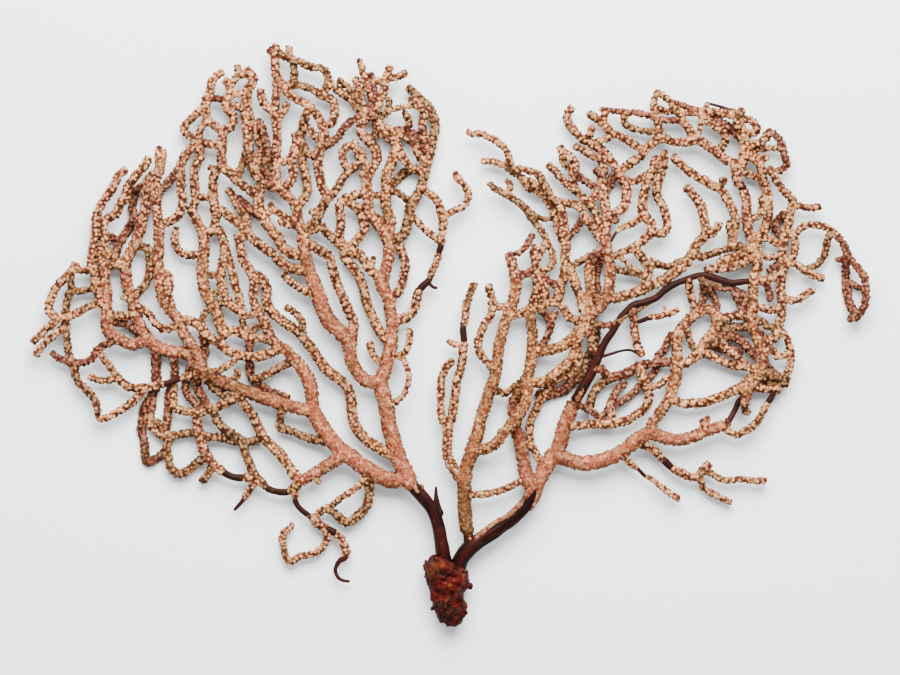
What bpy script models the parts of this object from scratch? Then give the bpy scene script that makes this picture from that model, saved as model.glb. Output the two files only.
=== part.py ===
"""A dried sea fan lying flat: a holdfast, two bare stems and the limbs and sprays that fork from them."""

import math

import bmesh
import bpy
import numpy as np
from mathutils import Vector, noise

# The scale of the photograph, and the picture point that lies at the origin
MM_PER_PIXEL = 0.45
ORIGIN_PX = (449.03, 334.31)

# Lengths in mm
SETTLE = 1.4  # how far the fan sinks until its lowest strands touch the table
JOIN_REACH = 3.15  # a strand that ends this near another one meets it
JOIN_RAMP = 13.5  # the stretch over which its height changes to do so
GAP = 0.8  # clearance between neighbouring pieces
ROUTE_TOLERANCE = 1.05  # how far a straight stretch may run from the traced route
THICK = 4.8  # a strand wider than this has six sides, a thinner one four
SAMPLE = 0.9  # spacing of the points used to measure distances
DETAIL_KEPT = 0.57  # share of the faces kept after the joins
LUMP = 0.05  # share by which the radius swells and shrinks from ring to ring

# Colours of the living coat and of the bare axis
PINK = (0.78, 0.42, 0.30)
TAN = (0.72, 0.40, 0.20)
OLIVE = (0.50, 0.34, 0.16)
RED = (0.42, 0.13, 0.07)
BARE = (0.20, 0.07, 0.04)

for old in list(bpy.data.objects):
    bpy.data.objects.remove(old)

fan = bpy.data.collections.new("sea_fan")
tools = bpy.data.collections.new("tools")
for group in (fan, tools):
    bpy.context.scene.collection.children.link(group)
tools.hide_render = True

strands = []
limbs = {}


def fade(x):
    """1 at 0, 0 from 1 on, smooth between."""
    x = np.clip(x, 0, 1)
    return 1 - x * x * (3 - 2 * x)


def nearest_height(point, name):
    """The height of the strand, of those traced so far, that passes closest to a point."""
    best = None
    for other in strands:
        away = np.hypot(*(other["xy"] - point).T)
        near = int(away.argmin())
        score = away[near] + (0 if other["limb"] == name else 0.9)
        if away[near] < JOIN_REACH and (best is None or score < best[0]):
            best = (score, other["z"][near])
    return best and best[1]


def trace(name, lift, widths, route):
    """Adds one strand: its route in mm, with a height and a radius at every sample."""
    pixels = np.array([[float(n) for n in pair.split(",")] for pair in route.split()])
    turns = (pixels - ORIGIN_PX) * (MM_PER_PIXEL, -MM_PER_PIXEL)
    at = np.r_[0, np.cumsum(np.hypot(*np.diff(turns, axis=0).T))]
    length = at[-1]
    along = np.r_[np.arange(0, length, SAMPLE), length]
    xy = np.c_[np.interp(along, at, turns[:, 0]), np.interp(along, at, turns[:, 1])]
    height = float(lift) - SETTLE
    z = np.full(len(along), height)
    ramp = min(JOIN_RAMP, 0.45 * length)
    for end, point in ((along, turns[0]), (length - along, turns[-1])):
        met = nearest_height(point, name)
        if met is not None:
            z = z + (met - height) * fade(end / ramp)
    radius = np.interp(along / length, np.linspace(0, 1, len(widths)), widths) / 2
    strand = dict(limb=name, order=len(strands), at=at, turns=turns, along=along, xy=xy, z=z,
                  radius=radius, length=length)
    strands.append(strand)
    return strand


def limb(name, colour, rows):
    """Traces every strand of a limb: height over the table, widths from start to end, route in pixels."""
    limbs[name] = (colour, [trace(name, *row) for row in rows])


def kept_turns(points):
    """The points of a route that it needs, so that no stretch runs further off it than the tolerance."""
    keep = {0, len(points) - 1}
    spans = [(0, len(points) - 1)]
    while spans:
        a, b = spans.pop()
        if b - a < 2:
            continue
        step = points[b] - points[a]
        inner = points[a + 1:b] - points[a]
        share = np.clip(inner @ step / max(step @ step, 1e-9), 0, 1)
        off = np.hypot(*(inner - share[:, None] * step).T)
        if off.max() > ROUTE_TOLERANCE:
            middle = a + 1 + int(off.argmax())
            keep.add(middle)
            spans += [(a, middle), (middle, b)]
    return sorted(keep)


def tube(name, points, radii, resolution):
    """A closed tube along points in mm, as a mesh object in metres."""
    curve = bpy.data.curves.new(name, "CURVE")
    curve.dimensions = "3D"
    curve.twist_mode = "Z_UP"
    curve.bevel_depth = 0.001
    curve.bevel_resolution = resolution
    curve.use_fill_caps = True
    spline = curve.splines.new("POLY")
    spline.points.add(len(points) - 1)
    for knot, point, radius in zip(spline.points, points, radii):
        knot.co = (*(Vector(point) / 1000), 1)
        knot.radius = radius
    draft = bpy.data.objects.new(name, curve)
    tools.objects.link(draft)
    graph = bpy.context.evaluated_depsgraph_get()
    mesh = bpy.data.meshes.new_from_object(draft.evaluated_get(graph))
    solid = bpy.data.objects.new(name, mesh)
    solid.matrix_world = draft.matrix_world
    tools.objects.link(solid)
    bpy.data.objects.remove(draft)
    bpy.data.curves.remove(curve)
    shape = bmesh.new()
    shape.from_mesh(mesh)
    bmesh.ops.remove_doubles(shape, verts=shape.verts, dist=1e-6)
    bmesh.ops.recalc_face_normals(shape, faces=shape.faces)
    shape.to_mesh(mesh)
    shape.free()
    return solid


def strand_tube(strand, extra=0.0):
    """The tube of a strand, or a cutter that is wider and longer than it all round."""
    kept = kept_turns(strand["turns"])
    at = strand["at"][kept]
    z = np.interp(at, strand["along"], strand["z"])
    radius = np.interp(at, strand["along"], strand["radius"])
    points = np.c_[strand["turns"][kept], z]
    lumps = 1 + LUMP * np.where(np.arange(len(kept)) % 2, 1, -1)
    if extra:
        for end, inner in ((0, 1), (-1, -2)):
            away = points[end] - points[inner]
            points[end] += away / np.linalg.norm(away) * extra
    resolution = 1 if 2 * strand["radius"].mean() > THICK else 0
    return tube(strand["limb"], points, radius * lumps + extra, resolution)


def boolean(solid, operation, others):
    """Joins or cuts a solid with others, which are used up."""
    operands = bpy.data.collections.new("operands")
    tools.children.link(operands)
    for other in others:
        tools.objects.unlink(other)
        operands.objects.link(other)
    change = solid.modifiers.new("change", "BOOLEAN")
    change.operation = operation
    change.operand_type = "COLLECTION"
    change.collection = operands
    change.solver = "MANIFOLD" if operation == "UNION" else "EXACT"
    graph = bpy.context.evaluated_depsgraph_get()
    mesh = bpy.data.meshes.new_from_object(solid.evaluated_get(graph))
    solid.modifiers.clear()
    solid.data = mesh
    for other in others:
        bpy.data.objects.remove(other)
    bpy.data.collections.remove(operands)


def end_reach(strand, index):
    """How far a sample lies from the nearer end of its strand."""
    return min(strand["along"][index], strand["length"] - strand["along"][index])


def wins(strand, other):
    """Whether the other strand, of another limb, comes close and cuts into this one."""
    a = np.c_[strand["xy"], strand["z"]]
    b = np.c_[other["xy"], other["z"]]
    if (a.min(0) > b.max(0) + 8).any() or (b.min(0) > a.max(0) + 8).any():
        return False
    clear = np.linalg.norm(a[:, None] - b[None], axis=2)
    clear -= strand["radius"][:, None] + other["radius"][None]
    i, j = np.unravel_index(clear.argmin(), clear.shape)
    if clear[i, j] > 2 * GAP + 0.4:
        return False
    ends_here = end_reach(strand, i) < other["radius"][j] + 2.5
    ends_there = end_reach(other, j) < strand["radius"][i] + 2.5
    if ends_here != ends_there:
        return ends_here
    return other["order"] < strand["order"]


def finish(name, solid, colour):
    """Cuts a piece flat where it touches the table, keeps its one body and gives it its material."""
    bpy.ops.mesh.primitive_cube_add(size=1)
    table = bpy.context.object
    table.scale = (1, 1, 0.1)
    table.location = (0, 0, -0.05)
    bpy.context.view_layer.update()
    for group in list(table.users_collection):
        group.objects.unlink(table)
    tools.objects.link(table)
    simplify(solid)
    boolean(solid, "DIFFERENCE", [table])
    keep_largest(solid)
    surface = bpy.data.materials.new(name)
    surface.use_nodes = True
    shader = surface.node_tree.nodes["Principled BSDF"]
    shader.inputs["Base Color"].default_value = (*colour, 1)
    shader.inputs["Roughness"].default_value = 0.45 if colour == BARE else 0.85
    shader.inputs["Metallic"].default_value = 0.0
    solid.data.materials.clear()
    solid.data.materials.append(surface)
    solid.data.shade_smooth()
    solid.data.set_sharp_from_angle(angle=math.radians(50))
    tools.objects.unlink(solid)
    fan.objects.link(solid)
    solid.name = name
    solid.data.name = name


def simplify(solid):
    """Merges the small faces that the joins leave."""
    shape = bmesh.new()
    shape.from_mesh(solid.data)
    bmesh.ops.triangulate(shape, faces=shape.faces)
    shape.to_mesh(solid.data)
    shape.free()
    fewer = solid.modifiers.new("fewer", "DECIMATE")
    fewer.ratio = DETAIL_KEPT
    graph = bpy.context.evaluated_depsgraph_get()
    mesh = bpy.data.meshes.new_from_object(solid.evaluated_get(graph))
    solid.modifiers.clear()
    solid.data = mesh


def keep_largest(solid):
    """Removes the bits that a cut left loose."""
    shape = bmesh.new()
    shape.from_mesh(solid.data)
    bmesh.ops.remove_doubles(shape, verts=shape.verts, dist=2e-6)
    bmesh.ops.dissolve_degenerate(shape, edges=shape.edges, dist=2e-6)
    bmesh.ops.triangulate(shape, faces=shape.faces)
    unseen = set(shape.verts)
    bodies = []
    while unseen:
        edge = [unseen.pop()]
        body = set(edge)
        while edge:
            for link in edge.pop().link_edges:
                for corner in link.verts:
                    if corner in unseen:
                        unseen.remove(corner)
                        body.add(corner)
                        edge.append(corner)
        bodies.append(body)
    bodies.sort(key=len)
    loose = [corner for body in bodies[:-1] for corner in body]
    bmesh.ops.delete(shape, geom=loose, context="VERTS")
    shape.to_mesh(solid.data)
    shape.free()


# Holdfast, the rough broken foot that both stems grow from
HOLDFAST_HEIGHT = 9.0
HOLDFAST_FLATNESS = 0.8
HOLDFAST_LUMPS = 0.9
HOLDFAST_ROWS = [  # picture row, left edge and right edge
    (562, 430, 467), (567, 423, 470), (575, 424, 470), (585, 426, 470), (593, 430, 466),
    (600, 433, 466), (606, 434, 468), (611, 436, 464), (617, 437, 457), (623, 438, 450),
]
HOLDFAST_SPURS = [
    (9, (5.0, 1.2), "446,598 438,604 431,610"),
    (11, (5.0, 1.4), "452,598 461,606 467,613"),
    (8, (5.0, 2.0), "450,580 462,585 472,588"),
    (6, (4.0, 1.6), "446,572 434,568 424,562"),
]


def holdfast_body(extra=0.0):
    """The foot as a lumpy flattened tube along its rows, or wider all round as a cutter."""
    middles = []
    radii = []
    for row, left, right in HOLDFAST_ROWS:
        middle = (np.array([(left + right) / 2, row]) - ORIGIN_PX) * (MM_PER_PIXEL, -MM_PER_PIXEL)
        middles.append((*middle, HOLDFAST_HEIGHT - SETTLE))
        radii.append((right - left) / 2 * MM_PER_PIXEL + extra)
    middles = np.array(middles)
    middles[0, 1] += extra
    middles[-1, 1] -= extra
    body = tube("holdfast", middles, radii, 4)
    centre = (HOLDFAST_HEIGHT - SETTLE) / 1000
    for corner in body.data.vertices:
        spot = corner.co * 260
        push = noise.noise(spot) * HOLDFAST_LUMPS / 1000
        flat = Vector((0, 0, (corner.co.z - centre) * (HOLDFAST_FLATNESS - 1)))
        side = Vector((corner.co.x - middles[:, 0].mean() / 1000, 0, corner.co.z - centre))
        corner.co += flat + side.normalized() * push
    return body


limb("holdfast", RED, HOLDFAST_SPURS)

# Left stem, bare axis with one thorn
limb("left_stem", BARE, [
    (9, (7.0, 6.6, 6.2, 6.4), "447,574 444,560 441,541 438,525 433,511 425,500 417,491 411,485"),
    (10, (1.8, 1.2, 0.7), "439,514 437,504 436,495 436,487"),
])

# Left upright limb, from the top of the left stem
limb("left_upright_limb", TAN, [
    (9, (7.0, 7.0, 6.4), "411,485 405,472 398,456 393,440 389,425 387,410 384,397 380,385"),
    (9, (6.2, 5.6, 5.0, 4.8),
     "380,385 384,372 387,360 391,348 392,336 392,322 390,309 388,298 383,287 379,278"),
    (12, (2.6, 2.2, 2.2), "390,405 397,401 403,395 407,388 409,378 407,368 403,360 398,356 391,354"),
    (12, (2.4, 2.7), "398,356 404,354 408,347 410,338 410,328"),
    (7, (2.9, 2.7), "386,364 380,361 374,357 371,350 369,341"),
    (7, (4.0, 3.8),
     "391,345 386,340 380,332 375,322 370,310 366,300 363,287 359,276 355,270 349,264 344,256 "
     "343,248"),
    (9, (4.3, 4.0), "383,287 379,278 373,273 367,265 361,257 351,251 343,247"),
    (9, (2.5, 2.5), "367,265 373,263 374,256"),
    (7, (3.6, 3.6), "390,300 396,294 401,287 403,277 405,263 402,254 400,245 399,238"),
    (8, (3.8, 4.0, 2.6, 3.2, 3.4, 3.2),
     "392,322 398,321 405,318 412,312 416,304 418,294 421,288 429,280 432,273 437,260 439,252 "
     "441,246 441,242 443,231 443,219 441,210 438,201 430,194 421,187"),
    (8, (1.6, 1.4), "428,282 433,287 438,288"),
    (7, (4.4, 4.2, 4.0, 4.0),
     "396,456 386,452 375,446 364,438 356,427 352,413 351,400 347,387 336,377 326,369 318,358 "
     "311,348 304,339 297,331 289,326 281,320 272,312 266,303 267,293 266,284 260,277 253,274"),
    (10, (3.0, 3.0), "303,338 302,330 302,322 296,314 289,309 284,307"),
    (8, (2.8, 2.9, 2.9),
     "443,219 446,215 451,212 458,209 465,205 468,198 468,192 465,186 460,180 453,172"),
])

# Left lower limb, from the same fork
limb("left_lower_limb", PINK, [
    (9, (6.6, 6.8, 6.2), "405,478 394,481 384,478 368,470 353,459 342,451 330,438 319,422 312,408"),
    (8, (5.4, 4.6), "343,453 335,461 322,469 313,475 301,481 297,483"),
    (8, (2.0, 2.0), "312,476 317,481 320,484"),
    (6, (3.8, 3.6, 3.8, 3.0),
     "368,472 368,480 369,489 368,498 365,508 356,517 347,523 339,518 333,512 325,509"),
    (10, (2.6, 2.6), "366,475 363,481 358,487 351,492 342,497 335,503 326,509"),
])

# Spray that hangs below the left lower limb
limb("hanging_spray", PINK, [
    (6, (3.2, 2.4, 3.4, 3.4, 3.4, 1.9, 1.4),
     "297,484 295,492 295,501 299,508 306,514 313,518 316,523 321,527 328,530 334,533 339,537 "
     "344,545 347,552 345,558 340,561 337,565 335,571 338,578 343,581 350,582"),
    (6, (3.0, 3.0), "326,509 320,512 315,519 316,523"),
    (5, (2.8, 2.7),
     "327,531 326,541 322,548 316,553 307,556 298,558 290,562 285,557 283,548 282,539 284,533 "
     "289,529 294,524"),
])

# Inner bough, from the left upright limb
limb("left_inner_bough", TAN, [
    (9, (5.4, 5.4, 6.0), "380,383 366,381 357,372 352,362 350,350 349,340"),
    (9, (6.6, 6.8, 6.6, 5.2, 4.4, 4.0, 4.2),
     "350,342 342,334 333,326 328,319 322,306 317,293 313,281 309,270 306,258 303,246 302,234 "
     "298,221 296,210 293,202 287,195 280,190"),
    (8, (4.2, 3.8, 3.8),
     "351,340 354,323 349,313 343,298 337,285 333,270 330,257 323,252 315,247 304,241"),
    (9, (3.2, 3.0), "316,294 308,292 301,289 293,284 286,277 282,272"),
    (9, (4.0, 4.0, 3.6),
     "309,271 303,270 295,269 286,266 280,262 272,254 263,247 254,240 247,233 242,226 236,220 "
     "229,216 222,211 215,208"),
    (9, (4.4, 4.2),
     "305,256 295,255 288,252 282,246 278,238 271,230 265,221 260,214 258,205 259,196 259,188 "
     "260,181"),
    (11, (3.8, 3.6), "258,196 254,193 246,187 238,181 232,175 226,170 222,166"),
    (11, (2.8, 2.8), "263,218 267,213 274,210 280,214 287,218 297,221"),
    (11, (2.6, 2.6), "274,211 271,205 268,203"),
    (11, (3.0, 2.8), "300,227 294,225 287,225 280,221"),
    (6, (3.6, 3.4, 3.0), "246,233 247,224 245,216 240,210 236,203 232,195 226,188"),
    (6, (3.8, 3.6), "261,215 253,212 248,208 243,203 239,198"),
    (10, (4.2, 4.0), "302,234 307,229 312,224 317,218 320,211 324,203 327,197"),
    (10, (3.6, 3.2), "318,215 314,213 311,208"),
    (8, (3.4, 3.4), "303,238 308,231 314,230 319,226 323,227 327,233 334,239 341,246"),
    (10, (3.8, 3.6), "342,246 340,235 341,225 340,215 339,206 341,202 347,198 353,196 359,194 367,193"),
    (7, (3.6, 3.8), "341,202 348,202 353,205 359,209 362,217 364,228 360,235 355,242 350,247 344,248"),
])

# Spray at the top of the inner bough
limb("left_top_spray", TAN, [
    (9, (4.2, 4.0, 4.2, 4.0, 3.6),
     "280,190 270,185 261,180 254,172 251,161 249,150 247,134 246,111 247,95 249,87 254,81 250,74 "
     "245,67"),
    (9, (3.8, 3.6, 3.6, 3.4),
     "278,189 276,179 275,167 276,156 277,140 277,128 275,117 275,105 276,94 276,82 275,70 275,59 "
     "275,50 276,43"),
    (9, (3.0, 3.2), "275,51 269,51"),
    (9, (3.2, 3.4), "275,115 272,110 265,104 261,96 261,88"),
    (9, (3.0, 3.4), "277,119 281,114 285,108 287,101"),
    (9, (3.0, 3.2, 3.2, 3.4),
     "275,50 280,53 286,57 293,60 299,62 306,65 315,67 323,69 327,75 328,82 325,90 322,96"),
    (8, (3.4, 3.6, 3.2), "322,95 331,99 335,106 335,114 333,121 327,125 321,126"),
    (9, (2.9, 2.9), "291,59 289,52 289,45"),
    (7, (3.2, 3.2), "293,60 294,68 294,76 292,83 285,86 278,78"),
    (9, (3.0, 3.2), "286,86 296,85 305,87 313,90 321,95"),
    (11, (4.0, 4.0, 3.8, 3.4, 3.4),
     "327,198 323,188 320,179 318,167 318,157 320,150 323,146 325,139 324,131 322,124 318,117 "
     "315,112 309,106 302,101 295,98 288,92 283,86 278,78"),
    (7, (3.6, 3.8, 3.6),
     "309,107 307,113 304,122 302,129 300,137 300,145 302,153 302,163 305,173 307,184 307,194 "
     "302,201 297,206"),
    (11, (3.6, 3.8), "281,190 286,186 291,181 294,174 292,165 293,158 295,150 297,141 294,132"),
    (9, (2.8, 2.8), "275,165 281,163 287,161 293,157"),
    (9, (3.0, 3.0), "304,126 310,130 316,137 323,143"),
    (9, (3.2, 3.2), "300,143 304,147 308,153 314,156 319,154"),
    (6, (3.4, 3.4), "247,112 253,124 258,136 262,148 258,160 254,171"),
    (11, (3.6, 3.8), "275,186 271,180 266,172 266,163 268,152 265,140 262,130 259,121"),
    (7, (3.4, 3.0), "248,146 244,158 241,167 237,176 238,181"),
    (9, (3.0, 2.9), "252,76 243,74 238,70 237,64"),
    (7, (3.6, 3.4),
     "327,198 331,196 337,189 341,181 346,173 352,168 358,164 363,158 360,152 354,146 356,140"),
    (9, (3.2, 3.2), "351,169 346,166 342,158 343,151 349,146 354,144"),
])

# Left crown, beyond the inner bough
limb("left_crown", TAN, [
    (9, (4.0, 3.8, 3.4, 3.2, 3.2),
     "223,166 221,157 222,148 223,140 223,134 224,128 230,127 234,120 231,113 226,108 226,102 "
     "229,96 231,92 229,86 224,78"),
    (9, (3.0, 3.0), "230,89 232,82 236,77 240,73"),
    (9, (3.0, 3.0), "230,94 238,94 246,95"),
    (9, (3.0, 3.0), "226,104 230,106 236,106 241,108 246,111"),
    (8, (3.0, 3.0), "227,100 217,98 209,99 205,101"),
    (9, (3.4, 3.4, 3.4, 2.9),
     "223,133 219,129 212,124 206,119 206,112 205,104 206,98 210,93 211,85 214,78 219,74 224,71"),
    (7, (3.0, 3.2), "206,105 199,111 193,116 187,122 183,128 187,134 193,138 198,142"),
    (9, (2.8, 2.8), "207,120 202,126 199,134 198,142"),
    (9, (3.2, 3.4), "222,145 213,144 205,143 198,143"),
    (9, (3.8, 3.8, 3.4),
     "198,143 192,147 187,153 182,161 180,169 181,180 181,191 183,201 181,210 175,218 166,223 "
     "160,226"),
    (7, (3.8, 3.8, 3.8),
     "198,143 200,150 200,157 196,164 194,173 194,182 194,192 195,202 191,210 196,221 202,232"),
    (9, (3.8, 3.8), "222,167 216,171 214,179 213,188 214,197 214,206 216,215 215,225 210,231 204,235"),
    (9, (2.8, 2.6), "216,171 208,166"),
    (9, (2.8, 2.8), "214,195 208,197 202,197 195,197"),
    (8, (4.2, 5.0, 4.6, 4.4),
     "203,230 203,240 204,248 203,260 202,271 203,285 207,296 212,304 216,312 219,321 222,329 "
     "223,336"),
    (9, (3.6, 3.8, 3.6),
     "212,231 218,229 222,236 225,249 223,257 222,266 221,274 221,282 223,290 226,298 230,305 "
     "236,309 243,315"),
    (9, (3.6, 3.4), "224,247 228,257 230,264 233,273 235,284 238,294 240,304 243,314"),
    (8, (2.8, 2.8), "203,274 212,275 221,276"),
    (8, (2.8, 2.8), "206,292 215,293 223,292"),
    (8, (2.8, 2.8), "212,302 219,304 227,300"),
    (8, (2.8, 2.8), "218,316 210,309 204,314 202,322 201,327"),
    (6.0, (3.0, 3.3, 3.1, 2.4), "203,255 196,255 187,255 179,251 174,243 175,234 176,226"),
])

# Upper branch, from the end of the left lower limb
limb("left_upper_branch", TAN, [
    (9, (5.6, 5.8, 4.8, 4.2, 3.6, 3.6, 4.0, 3.6),
     "313,410 312,399 311,390 308,378 302,368 295,360 289,353 280,347 272,341 269,333 265,323 "
     "259,313 254,303 253,293 254,282 252,275 248,269 243,261 241,251 239,241 236,233"),
    (8, (3.2, 3.2), "239,238 243,236 247,234"),
    (9, (2.8, 2.8), "259,312 252,315 246,315 242,320 244,328 250,331 257,328 264,321"),
    (9, (3.4, 3.2), "222,336 229,331 236,330 242,335 248,337 254,339 262,338 271,341"),
    (9, (4.0, 4.0, 4.0, 3.8),
     "281,348 276,350 270,353 261,356 251,357 240,355 231,352 223,347 216,341 208,337 203,330 "
     "200,325 194,322 187,320 179,320"),
    (7, (3.4, 3.4), "297,362 289,363 285,364 276,369 267,374 259,378 253,380"),
    (5, (3.2, 3.6, 3.6, 3.6),
     "249,334 249,345 249,352 250,362 250,374 254,381 259,386 266,390 275,394 290,400"),
])

# Outer limb, from the end of the left lower limb
limb("left_outer_limb", PINK, [
    (9, (5.2, 5.6, 5.2, 4.8, 4.6, 4.4, 4.0, 3.8),
     "313,409 306,410 295,408 284,405 272,401 261,397 249,393 238,389 226,383 215,378 205,373 "
     "199,364 195,353 191,345 186,337 181,327 178,319 171,311 165,304 162,295 160,284 159,271 "
     "158,260 158,248 159,234 158,222 157,211 156,199 155,190 156,181 158,173 160,167 161,159 "
     "162,148"),
    (9, (2.6, 2.6), "161,156 157,148"),
    (11, (4.4, 4.2), "170,307 167,294 169,283 166,273"),
    (9, (3.2, 3.2, 3.0), "181,326 173,326 166,329 158,326 153,320 148,314 142,309 135,308"),
    (5, (3.6, 3.6), "202,333 204,342 204,353 202,361 203,371"),
    (11, (2.6, 2.6), "205,372 212,373 219,371 226,367 232,362 238,357"),
    (9, (3.4, 3.6, 4.0), "238,389 234,398 226,403 214,408 204,411 197,413 190,412"),
    (5, (3.6, 3.6), "198,371 196,383 199,393 204,401 208,408"),
    (7, (3.4, 3.4), "205,376 211,385 218,391 226,397 231,400"),
    (5, (3.6, 3.2, 3.2), "195,357 190,368 186,378 185,390 190,399 197,406 199,412"),
    (9, (2.8, 2.6), "226,383 233,380 238,374 236,368"),
    (6, (3.2, 3.2), "282,405 281,414 280,421 279,427 288,430 297,434 307,438 316,440 326,442 335,446"),
    (6.0, (3.4, 3.6, 3.4), "156,199 159,192 164,186 170,180 176,172 182,162"),
])

# Spray along the left edge
limb("left_edge_spray", TAN, [
    (7, (5.0, 5.4, 5.2, 4.8, 4.6, 4.4, 3.8, 3.8),
     "201,367 192,357 183,352 175,353 165,350 156,346 148,340 142,332 138,323 134,311 132,302 "
     "131,295 127,288 126,278 125,266 127,257 132,248 136,240 139,232 141,222 144,211 145,199 "
     "145,190 147,182 151,176 156,174"),
    (7, (3.4, 3.4), "133,246 141,246 148,250 149,260 150,270 147,281 140,290 132,297"),
    (9, (3.6, 3.8, 3.8, 3.4),
     "125,267 120,263 114,259 108,254 105,246 103,237 102,229 104,221 110,217 116,214 119,206 "
     "122,201 126,196 127,189 131,181 137,175 142,169 146,163 149,156"),
    (2.0, (3.6, 3.6), "140,224 134,219 127,228 121,237 117,246 115,257"),
    (2.0, (3.6, 3.4), "145,186 137,188 133,196 131,206 134,219"),
    (5, (3.0, 3.0), "103,236 111,237 119,241"),
    (9, (4.6, 4.8, 4.6, 4.0),
     "145,339 139,343 131,345 124,342 116,338 109,332 106,323 106,315 106,305 106,294 105,283 "
     "105,271 103,263 101,255 103,247"),
    (8, (4.0, 3.8, 3.6, 3.6, 3.4),
     "105,304 100,297 97,290 95,281 95,273 91,265 91,258 92,250 94,240 95,230 95,220 97,211 "
     "101,204 105,198 111,190 115,181 120,174 127,168"),
    (8, (3.2, 3.2), "105,268 111,266 118,265 125,266"),
    (5, (3.2, 3.2), "107,322 113,323 121,323 129,326 138,333"),
    (9, (3.2, 3.2), "106,312 114,315 123,316 134,315"),
    (9, (1.8, 1.6), "130,299 124,298 120,297"),
    (9, (3.4, 3.2, 3.4, 3.4, 3.2),
     "105,303 96,303 88,306 79,311 70,316 63,319 56,318 50,313 48,306 51,299 54,291 58,284 64,279 "
     "70,273 74,268 75,261"),
    (8, (3.0, 3.0), "73,269 78,269 85,271 92,269"),
    (7, (3.2, 3.2, 3.2, 3.4, 3.2, 3.0),
     "70,274 71,284 71,290 68,296 66,305 65,313 65,323 66,332 67,344 68,354 71,362 74,370 75,379 "
     "82,386 89,393 94,400 96,408 98,417"),
    (6, (2.9, 2.9), "71,290 78,291 85,290 96,288"),
    (9, (3.0, 2.8), "56,318 51,325 46,329 38,337 31,343"),
    (9, (3.0, 2.8), "66,326 60,330 55,334 48,340 41,347 38,351 35,357"),
    (7, (3.0, 2.6), "71,362 65,361 58,358 50,351"),
    (8, (3.0, 3.2), "71,363 76,363 85,362 92,358 96,351 101,347 109,343 115,338"),
    (7, (2.6, 2.9, 3.4, 3.4, 2.8, 3.4),
     "97,350 105,362 112,370 116,375 121,382 129,387 138,388 147,387 156,385 164,384 171,382 "
     "179,379 188,377 197,374 204,373"),
    (7, (2.9, 2.9), "118,378 112,380 103,381 95,379 87,376"),
    (7, (3.2, 3.2, 2.6), "144,389 139,396 131,403 121,410 112,415 104,419 98,418"),
])

# Net of low twigs at the lower left
limb("left_low_spray", OLIVE, [
    (2.8, (4.2, 4.2, 3.8, 3.6, 3.6, 3.6),
     "153,344 155,350 156,361 155,370 155,381 152,394 148,401 143,410 141,420 140,430 143,439 "
     "144,449 145,459 147,464 151,461 159,456 167,450"),
    (3, (2.6, 2.6), "152,396 152,404 150,412 147,419 141,421"),
    (5, (3.4, 3.4, 3.2), "141,417 149,420 156,423 162,427 166,432 170,436 179,434 190,433 199,433"),
    (5, (2.8, 2.8), "150,420 150,426 155,431 160,436 168,440"),
    (5, (3.2, 3.6, 3.4),
     "170,436 168,441 166,449 168,458 169,467 174,473 181,474 188,470 196,464 201,460 207,456"),
    (3, (3.4, 3.4), "174,352 173,362 174,371 172,380 169,390 168,400 167,412 166,422 165,430"),
    (7, (3.2, 3.2), "172,384 173,391 173,400 174,408 181,411 191,412 198,413"),
    (7, (4.0, 4.4, 4.2, 3.2, 3.8),
     "198,412 197,420 198,430 200,440 204,450 208,458 213,465 219,469 224,473 232,477 241,478 "
     "253,477"),
    (6, (3.2, 3.0), "213,466 207,475 200,484"),
    (5, (3.4, 3.4), "200,436 208,437 215,437 224,439 233,441 240,442 247,442 255,441 262,436"),
    (7, (3.4, 3.6, 3.2, 3.6, 3.0, 3.8),
     "213,409 215,416 219,424 224,430 232,434 240,439 243,445 245,454 249,462 252,470 255,477 "
     "260,482 268,489 278,492 287,492 294,488 299,482"),
    (6, (3.0, 2.4, 1.4), "257,481 250,489 246,495 243,500 238,506 233,511"),
    (7, (3.6, 4.0, 4.4),
     "237,390 242,401 247,408 252,415 256,424 261,433 268,443 276,451 284,460 291,470 298,480"),
])

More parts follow.
